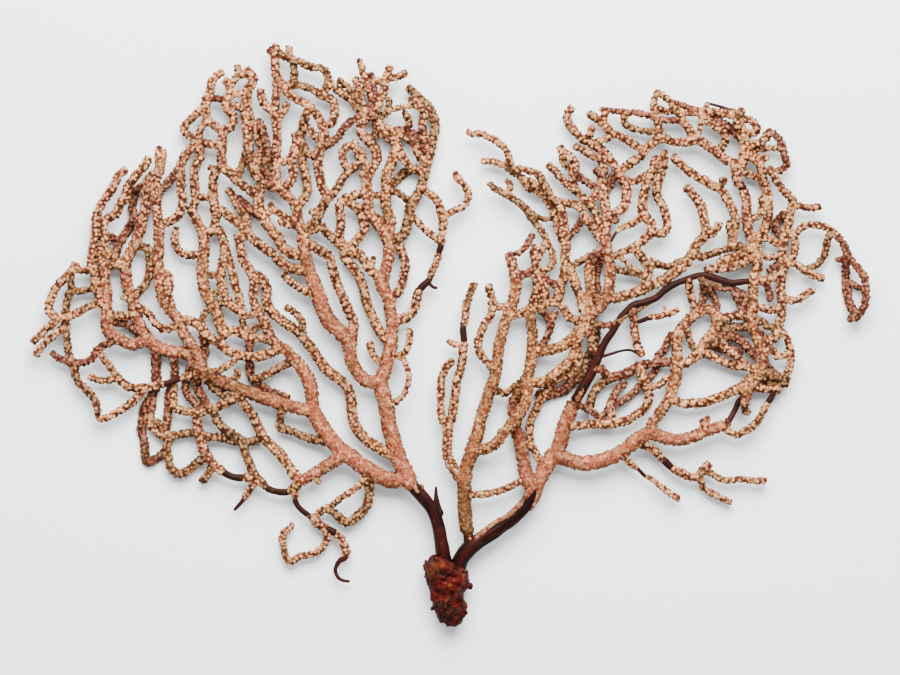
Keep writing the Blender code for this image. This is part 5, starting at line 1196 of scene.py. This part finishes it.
# Right bough: it carries on from the right stem, coated at first and then bare dark axis that
# sweeps to the right edge, with three strips of coat left on it. Dark red and tan twigs of the
# lower layer grow from it.
grown("right_bough", [
    (PINK, 9, (6.4, 6.6, 6.4, 6.0),
     "536,486 540,478 547,465 553,455 559,446 562,436 565,425 569,414 573,405"),
    (BARE, 9, (5.0, 4.1, 3.6, 3.3, 3.3, 2.9, 2.8, 3.4, 2.6),
     "573,405 576,400 583,388 590,376 596,363 600,353 606,341 613,331 620,319 625,313 634,305 "
     "645,302 656,298 664,291 673,285 685,280 693,277 702,275 712,277 721,280 731,283 740,282 "
     "750,281 757,281", [(1, 22)]),
    (RED, 9, (2.6, 2.6), "620,321 610,325 602,325 596,322"),
    (PINK, 7, (3.2, 3.6, 3.4), "632,309 634,318 635,326 636,336 638,346 641,353 643,357"),
    (BARE, 8, (1.6, 1.3, 1.1), "599,358 604,356 611,354 621,351 629,350 635,352 641,356", [(0, 6)]),
    (PINK, 9, (1.8, 2.4, 2.6, 2.2),
     "634,323 641,321 649,318 656,317 664,315 671,314 679,309", [(0, 2)]),
    (TAN, 9, (1.8, 1.4), "669,314 667,310 663,307"),
    (RED, 6, (3.6, 4.0, 3.8, 3.6),
     "593,369 601,369 608,376 616,377 625,374 634,369 643,365 652,364 661,363 671,362 678,361"),
    (OLIVE, 6, (3.6, 3.6), "611,378 604,382 597,388 593,395 591,403 590,410"),
    (RED, 6, (2.2, 2.9, 3.2, 3.0),
     "575,402 581,406 589,410 596,415 601,418 607,411 611,403 614,396 618,389 624,385 628,386"),
    (TAN, 7, (3.6, 3.6, 3.6, 3.4),
     "641,366 641,372 643,379 646,386 649,395 648,404 643,411 636,416 626,421 614,424 603,424 "
     "591,424 582,425 573,426 566,424"),
    (TAN, 6, (2.7, 2.7), "611,403 612,411 612,424"),
    (TAN, 7, (2.9, 2.9), "648,388 657,386 664,381 669,375"),
    (RED, 4, (2.8, 2.8, 3.0),
     "675,334 671,335 667,343 664,351 658,357 657,369 651,376 643,384 636,391 628,398 621,402 "
     "613,405"),
    (TAN, 7, (3.4, 3.4), "688,280 690,289 692,297 694,305 695,313"),
    (RED, 5, (3.2, 3.0), "702,276 704,290 703,301 699,311"),
    (RED, 8, (2.0, 2.6, 3.4, 3.6),
     "700,277 711,284 723,288 735,290 743,295 746,303 746,311 746,320"),
], [
    (OLIVE, (1.6, 2.0, 2.2, 1.2), "618,322 628,315 640,309 652,303"),
    (OLIVE, (1.4, 1.8, 1.2), "700,283 712,283 722,286"),
    (PINK, (3.6, 2.6, 1.2), "577,402 580,395 584,387"),
])

# Horizontal limb: the pink coated limb that runs right from the bough, and the long broken twigs
# below it. Two of these have lost some of their coat and show the dark axis.
grown("right_horizontal_limb", [
    (PINK, 9, (5.6, 6.4, 6.2, 6.0),
     "552,457 560,457 571,461 583,463 595,462 606,459 618,454 627,448 635,441 643,436 651,431"),
    (PINK, 9, (5.4, 5.2, 4.6),
     "645,435 652,433 659,436 670,439 680,440 689,438 698,434 708,430 717,428 727,424"),
    (TAN, 9, (3.0, 2.6), "706,430 704,424 702,418"),
    (TAN, 9, (2.4, 2.2), "704,424 708,418"),
    (PINK, 7, (3.8, 3.4, 3.2, 3.4, 3.4),
     "636,441 643,444 651,448 659,454 665,461 671,467 677,471 685,475 693,478 700,475 704,469 "
     "709,465 711,463", [(4, 5)]),
    (TAN, 6, (2.7, 2.6), "704,470 709,472 716,476 725,480 733,480 740,479 750,480 760,481 768,481"),
    (TAN, 5, (2.4, 2.7), "699,476 701,481 705,489 712,493 721,498 727,501 733,503"),
    (PINK, 7, (3.0, 1.6, 2.2, 2.6),
     "624,451 626,459 632,465 638,469 645,476 650,478 658,484 666,490 674,496 681,500", [(3, 4)]),
])

# Inner spray: the arched tan twigs, lime coat over thin axis, between the right upright limb and
# the bough. They have grown on to both and close a net of loops.
grown("right_inner_spray", [
    (TAN, 10, (4.4, 4.6, 4.4), "536,351 543,351 551,350 559,348 567,343 574,338 580,330 584,322"),
    (TAN, 9, (4.2, 4.4, 4.2),
     "583,325 579,337 577,348 573,357 568,364 560,370 551,378 544,382 536,383 529,384"),
    (TAN, 6, (3.8, 3.6, 3.2, 3.2),
     "577,350 578,360 577,368 571,375 561,378 553,382 549,388 545,394 540,401 536,410 532,418 "
     "530,428 530,437 531,446 536,454 541,461 546,467"),
    (RED, 3, (4.2, 4.0), "575,371 576,379 570,384 565,390 555,393 544,396 536,391"),
    (TAN, 11, (3.4, 3.2), "585,323 590,333 593,342 594,352"),
    (OLIVE, 4, (3.8, 3.6), "586,321 595,328 596,342 591,352 587,362 582,372 576,379"),
    (TAN, 9, (4.6, 3.8, 3.8), "584,323 587,315 583,308 581,300 578,290 574,278 570,270 565,264"),
    (TAN, 9, (4.6, 4.4, 4.3), "586,318 589,307 590,298 590,286 590,275 589,266"),
    (RED, 9, (4.2, 3.8, 3.0), "589,266 592,260 597,255 602,251 607,248"),
    (OLIVE, 6.0, (2.6, 2.7, 2.8), "569,268 577,263 584,259 591,255 600,251"),
    (TAN, 6.5, (3.6, 3.4, 3.1, 3.0), "583,322 576,320 570,318 566,312 562,306 556,303"),
    (TAN, 6.5, (3.8, 3.6), "583,322 590,317 597,309"),
])

# Tall branch: the pink coated branch that rises from the inner spray above the bough, with the
# short tan twigs of the top and dark red ones behind them.
grown("right_tall_branch", [
    (PINK, 9, (4.8, 4.6, 4.8, 4.4, 4.2, 3.8, 3.8, 3.6),
     "587,318 597,309 603,303 606,297 609,291 610,280 610,268 609,259 607,248 605,238 605,228 "
     "606,217 606,207 604,200 603,190 602,181 603,172 603,163 600,152"),
    (TAN, 8, (3.4, 3.4, 3.2, 3.0),
     "606,234 601,225 598,217 594,209 589,202 582,196 575,190 570,186 563,181 558,174 552,168 "
     "547,163"),
    (PINK, 10, (3.6, 3.8, 3.2), "574,189 573,180 574,172 576,164 570,157 563,152 559,145"),
    (TAN, 8, (2.7, 2.7), "563,152 562,159 567,166 574,170"),
    (RED, 8, (2.9, 2.9), "575,174 580,177 588,183 595,186 603,187"),
    (PINK, 9, (3.2, 3.2), "603,190 598,191 594,197 589,203"),
    (PINK, 7, (3.8, 3.8, 3.8, 3.6, 3.6, 3.4, 3.2),
     "606,216 615,214 622,209 626,204 627,195 626,184 622,178 618,171 613,164 608,156 603,151 "
     "596,146 588,141 582,138 576,132 570,125 567,118 568,112 574,106"),
    (RED, 5, (3.4, 3.4), "618,172 612,178 610,185 606,192 604,200"),
    (RED, 9, (2.8, 2.8), "603,176 598,172 594,168"),
    (RED, 8, (2.8, 2.8), "607,218 613,220 620,221"),
    (TAN, 9, (2.9, 2.9), "585,140 590,135 592,130 590,125"),
    (TAN, 9, (2.9, 2.9), "594,145 600,141 606,139 611,138"),
    (TAN, 9, (2.9, 2.9), "603,160 593,156 588,153 581,149 573,145"),
    (TAN, 8, (3.6, 3.6, 3.4), "619,172 622,169 629,164 635,160 642,154 646,148 652,143 660,138"),
    (RED, 4, (3.4, 3.6), "606,250 600,258 598,266 596,276 597,288 599,303"),
])

# Arched branch: the tan branch that leaves the tall branch low down and bends over to the right,
# lime coat over thin axis. One of its twigs is partly worn bare.
grown("right_arched_branch", [
    (TAN, 9, (4.2, 4.2, 4.2, 4.2, 4.0, 4.0, 3.8, 3.6),
     "606,298 615,298 625,295 634,293 641,290 649,286 656,283 664,280 671,275 679,270 686,264 "
     "690,258 694,251 697,244 703,238 707,232 706,226 704,216 702,207 697,199 690,191 685,185"),
    (PINK, 9, (3.2, 3.2), "706,234 712,234 717,229 720,221"),
    (OLIVE, 8, (2.8, 2.8), "610,270 620,270 629,272 637,273 647,277"),
    (TAN, 9, (3.6, 3.4), "646,287 647,280 649,271 652,264 655,258"),
    (OLIVE, 8, (2.8, 2.8), "653,262 660,265 668,266 676,264 684,260 691,257"),
    (TAN, 9, (3.4, 3.6, 3.6, 3.8, 3.8, 3.6),
     "649,270 643,258 638,252 635,248 640,243 646,238 651,233 652,227 651,222 646,216 643,210 "
     "643,201 645,193 646,184 650,176 653,168 656,160 659,155"),
    (TAN, 8, (3.2, 3.0), "635,248 627,250 620,254 609,258"),
    (TAN, 7, (1.8, 1.8), "619,254 625,261 631,266 640,273"),
    (TAN, 8, (2.8, 2.8, 1.6, 1.4),
     "645,214 640,218 634,222 627,226 621,229 616,233 611,241 606,246", [(5, 7)]),
    (TAN, 8, (3.0, 3.6, 3.6, 3.6),
     "652,231 657,233 662,234 667,229 667,220 665,211 661,203 657,195 657,186 659,178 662,170 "
     "664,162 665,153"),
    (TAN, 8, (2.8, 2.8), "650,174 641,178 635,181 629,181 622,178"),
])

# Right top spray: the slender tan and pink twigs that lean into the gap between the two crowns.
# They grow on from the inner spray and have fused where they cross.
grown("right_top_spray", [
    (TAN, 9, (4.2, 4.2, 4.2, 4.0, 3.6, 3.0, 2.8),
     "556,303 559,296 561,285 565,276 565,266 565,254 566,243 565,232 563,221 562,210 558,204 "
     "552,198 547,190 543,182 539,175 530,171 521,169 513,171"),
    (TAN, 7, (3.8, 3.6, 3.4, 3.0, 2.6, 2.4),
     "565,243 560,232 557,222 554,214 551,206 546,199 541,193 535,190 529,188 525,183 521,177 "
     "514,172 508,168 505,166 499,164 490,161 481,161"),
    (PINK, 9, (2.8, 2.8, 2.6),
     "513,171 510,162 508,153 502,146 496,141 489,137 480,134 472,134 466,130"),
    (OLIVE, 9, (1.4, 2.6, 2.8, 2.6),
     "556,219 550,219 540,218 532,213 525,208 519,203 511,197 504,193 496,189 488,182", [(0, 1)]),
    (OLIVE, 7, (2.7, 2.7), "525,208 530,216 537,225 543,233 548,241"),
    (TAN, 9, (2.2, 2.0), "507,194 510,190 510,184 505,180"),
    (TAN, 9, (2.6, 2.6), "523,180 531,181 537,187 542,194"),
    (TAN, 9, (3.2, 3.2, 3.6), "556,202 568,203 577,205 583,212"),
    (PINK, 9, (3.6, 3.6, 3.4), "606,242 600,238 595,231 590,224 584,215 583,211"),
    (RED, 6, (2.8, 2.8), "584,216 580,223 576,229 571,234 565,238"),
])

# Right crown: the arch of fused twigs at the top right, which grows on from the tall branch. It
# is tan lime coat over thin axis, with a bare wiry twig along its edge.
grown("right_crown", [
    (PINK, 9, (3.6, 3.4, 3.6, 3.8, 4.2),
     "658,139 666,138 672,141 680,142 688,142 696,140 704,143 712,148 719,154 726,160 734,163 "
     "737,168"),
    (TAN, 7, (3.2, 3.2), "645,150 639,147 632,143 625,139 615,134 608,128 602,122 595,117 587,112"),
    (TAN, 8, (2.6, 2.6), "605,126 604,118 606,111"),
    (TAN, 9, (3.0, 3.0, 2.6), "659,139 660,131 658,124 657,115 653,107 655,98 658,91"),
    (RED, 9, (2.6, 2.6, 2.4),
     "684,121 673,120 664,120 655,118 647,115 638,113 629,113 620,112 611,111 601,109"),
    (OLIVE, 7, (2.8, 2.8), "660,130 651,131 643,131 635,129 628,126 623,120 627,113"),
    (TAN, 10, (2.6, 2.8), "658,92 664,96 670,101 675,108 680,114 684,121"),
    (TAN, 9, (3.4, 3.4), "697,141 692,135 688,128 684,121"),
    (RED, 8, (2.4, 2.2), "671,102 681,105 688,108 696,109 702,112"),
    (TAN, 7, (2.4, 2.4), "679,113 685,112 693,113 702,113"),
    (TAN, 7, (2.4, 2.4), "660,108 666,112 672,110 679,113"),
    (RED, 8, (4.0, 3.8, 3.4), "744,142 739,135 732,129 725,124 718,120 709,117 701,113"),
    (TAN, 11, (3.2, 3.2), "702,114 706,120 713,124 720,129 726,135 727,140 723,145 719,152"),
    (TAN, 11, (3.2, 3.2), "702,112 707,110 714,112 723,113 732,115 740,119"),
    (PINK, 10, (2.2, 2.0), "702,113 702,119 701,126 699,132 697,140"),
    (OLIVE, 9, (2.0, 1.5, 1.3), "741,114 730,110 722,107 715,105 708,103", [(1, 4)]),
    (TAN, 9, (1.8, 1.8), "708,103 706,107 702,111"),
    (TAN, 9, (4.2, 4.2, 3.8), "739,167 743,163 744,154 745,145 744,135 741,128 736,122"),
    (TAN, 9, (3.0, 3.0), "741,127 740,118 742,110"),
    (TAN, 9, (3.0, 3.2, 3.0), "741,119 748,119 753,122 757,127 755,132 749,134 744,136"),
    (PINK, 8, (4.2, 4.0, 4.2, 4.2),
     "735,163 736,172 738,181 743,188 746,196 747,205 747,214 747,224 749,232 753,241", [(3, 3)]),
    (TAN, 10, (3.4, 3.4), "745,146 752,145 760,143 766,138 768,131"),
    (RED, 8, (3.2, 3.0, 3.0),
     "768,132 774,134 780,140 783,147 785,155 787,163 783,169 776,172 770,170"),
    (TAN, 7, (2.6, 2.4), "746,152 752,151 761,149 770,148 783,148"),
    (PINK, 9, (3.0, 3.0), "745,158 753,157 762,158 769,156"),
    (TAN, 8, (3.4, 4.0, 4.0, 4.0),
     "754,158 762,168 763,179 766,188 768,198 768,208 768,216 767,224 763,232 757,240"),
    (TAN, 7, (3.0, 3.0), "740,169 750,175 757,177 763,179"),
    (TAN, 9, (2.8, 2.8), "767,196 762,199 762,207 759,215 751,219"),
])

# Outer spray: the limb down the right edge from the crown, its loops, the curled twig at the far
# right and the hooks below. It is coated nearly all over, dark red in its lower layer.
grown("right_outer_spray", [
    (TAN, 9, (4.0, 4.2, 4.4, 4.4, 4.6, 4.8, 4.8, 4.4),
     "752,238 757,243 758,248 757,259 757,271 754,280 753,290 753,301 752,310 751,319 754,330 "
     "758,339 761,348 763,357 762,367 759,375 753,382 748,389 746,397 744,406"),
    (OLIVE, 8, (2.6, 2.6), "744,405 746,411 751,414"),
    (TAN, 7, (3.6, 3.8, 3.8, 3.6),
     "762,347 767,342 774,338 778,332 780,323 782,313 781,308 783,300 781,291 782,282 783,273 "
     "785,264 783,255 785,244 785,234 788,228 790,216 792,208"),
    (TAN, 9, (3.4, 3.2), "791,210 794,204 791,197 785,191 780,184 774,176 772,169 768,170"),
    (TAN, 8, (2.8, 2.7), "793,205 804,207 812,208 822,206"),
    (PINK, 9, (3.2, 3.2), "787,229 792,235 795,243 795,251 791,259 785,264"),
    (PINK, 9, (2.8, 2.8, 3.0, 3.0),
     "791,234 796,233 801,228 807,225 815,225 825,227 832,231 839,237"),
    (RED, 9, (3.0, 3.2, 3.2, 3.0),
     "839,237 844,245 848,255 854,263 860,270 865,278 866,288 866,299 862,310 855,318 847,318"),
    (RED, 2.0, (3.0, 3.6, 3.8), "847,252 847,260 847,271 847,282 849,294 851,305 856,315"),
    (RED, 4, (2.4, 2.4), "848,281 856,285 865,291"),
    (RED, 6, (2.4, 2.4), "847,260 842,259 835,259"),
    (OLIVE, 6, (2.8, 2.8), "832,232 828,239 827,247 825,256 820,262 812,267 806,269"),
    (TAN, 8, (2.9, 2.9), "785,263 791,263 797,264 804,270 812,274 821,278 826,277"),
    (TAN, 8, (2.9, 2.9), "782,298 788,299 796,301 804,296 811,291 816,292"),
    (RED, 2.2, (3.6, 3.6), "790,215 783,215 779,221 776,224 778,232 785,236"),
    (TAN, 8, (2.7, 2.7), "758,240 766,238 774,242 784,246"),
    (TAN, 8, (2.6, 2.6), "757,256 762,256 769,258 777,257 784,258"),
    (RED, 5, (2.9, 2.9), "784,262 775,267 768,273"),
    (TAN, 9, (3.2, 3.2), "783,272 778,273 772,279 765,281 756,281"),
    (RED, 6, (2.8, 2.6), "766,281 768,287 770,294 771,302"),
    (TAN, 9, (3.0, 3.0), "752,307 761,308 771,310 782,309"),
    (TAN, 8, (3.8, 4.2, 4.0), "757,246 748,251 740,255 729,259 717,264"),
    (PINK, 11, (3.2, 3.4), "757,257 748,260 740,264 730,267 717,269 707,269"),
    (OLIVE, 9, (3.2, 3.2), "748,250 740,245 732,247 723,250 711,254 703,257 693,254"),
    (TAN, 8, (3.8, 3.6, 3.6, 3.4),
     "733,247 733,239 735,229 737,221 734,213 731,206 727,198 724,192 719,188 711,185 704,180 "
     "696,176 688,170 680,163 672,155"),
    (TAN, 10, (3.4, 3.2), "733,240 731,232 730,224"),
    (OLIVE, 9, (3.0, 3.2), "720,188 723,182 723,176"),
    (BARE, 7, (3.0, 2.8), "745,396 739,402 736,409 731,418 727,424", [(0, 3)]),
    (TAN, 8, (2.9, 3.2, 3.2, 2.8),
     "774,389 773,395 769,402 764,410 760,419 753,426 746,431 738,435 731,433 725,426", [(0, 2)]),
    (TAN, 7, (3.2, 3.2), "750,387 757,388 765,389 774,389 782,391"),
    (OLIVE, 9, (3.4, 3.2), "762,368 770,375 779,377 787,379 785,385"),
    (OLIVE, 5, (3.0, 3.0), "759,377 770,382 780,384 785,384"),
    (TAN, 9, (3.0, 3.0, 3.0), "779,331 783,333 788,339 790,348 791,358 790,366 787,374 782,378"),
    (TAN, 9, (2.8, 2.8), "763,352 770,349 774,351 779,358 785,355 791,352"),
    (OLIVE, 8, (3.2, 3.2), "752,318 763,322 771,327 779,328"),
    (RED, 5.0, (2.8, 2.8), "757,335 762,335 768,341"),
    (RED, 4.5, (2.8, 2.8), "764,361 768,366 772,370 776,375"),
])

# Side spray: the net of crossing twigs at the lower right, tan, olive and dark red coat over thin
# axis. It lies between the bough, the horizontal limb and the outer spray, and has grown on to
# all three.
grown("right_side_spray", [
    (TAN, 8, (4.0, 4.4, 4.6, 4.6, 4.4, 4.2),
     "650,432 652,423 656,419 661,411 667,402 671,396 672,388 676,380 677,369 678,359 677,348 "
     "677,338 681,329 687,321 695,315 704,310"),
    (TAN, 8, (4.2, 4.4, 4.2, 3.4),
     "703,310 709,309 715,313 718,321 714,332 708,339 702,346 700,353 692,359 684,364 678,366"),
    (OLIVE, 7, (2.8, 2.8), "683,325 688,332 691,343 696,349 701,353"),
    (TAN, 7, (3.4, 3.4), "701,354 707,354 715,358 724,361 734,365 746,366 758,371"),
    (PINK, 9, (2.8, 2.8), "714,334 722,343 729,351 737,357 745,364"),
    (RED, 4, (3.4, 3.2), "704,344 714,346 724,350 733,350 741,352"),
    (TAN, 7, (3.6, 3.8, 3.6),
     "670,398 676,401 683,404 690,404 701,403 711,400 723,396 732,392 739,390 746,386 754,380"),
    (TAN, 9, (4.0, 3.8), "717,316 722,318 730,317 738,315 746,316 752,318"),
    (OLIVE, 6, (3.8, 3.6), "717,325 724,328 735,327 746,326 753,327"),
    (RED, 7, (3.6, 3.8), "714,333 724,335 735,337 744,342 750,349 757,356 763,360"),
    (RED, 9, (3.4, 3.6), "735,291 738,300 743,309 747,318"),
    (OLIVE, 10, (3.2, 3.0), "706,341 713,344 718,341 726,338"),
    (RED, 5.0, (3.0, 3.0, 2.8), "715,312 717,306 715,299 710,290 707,284"),
    (TAN, 6.5, (3.5, 3.6, 3.3), "735,391 744,385 751,378 758,372"),
])
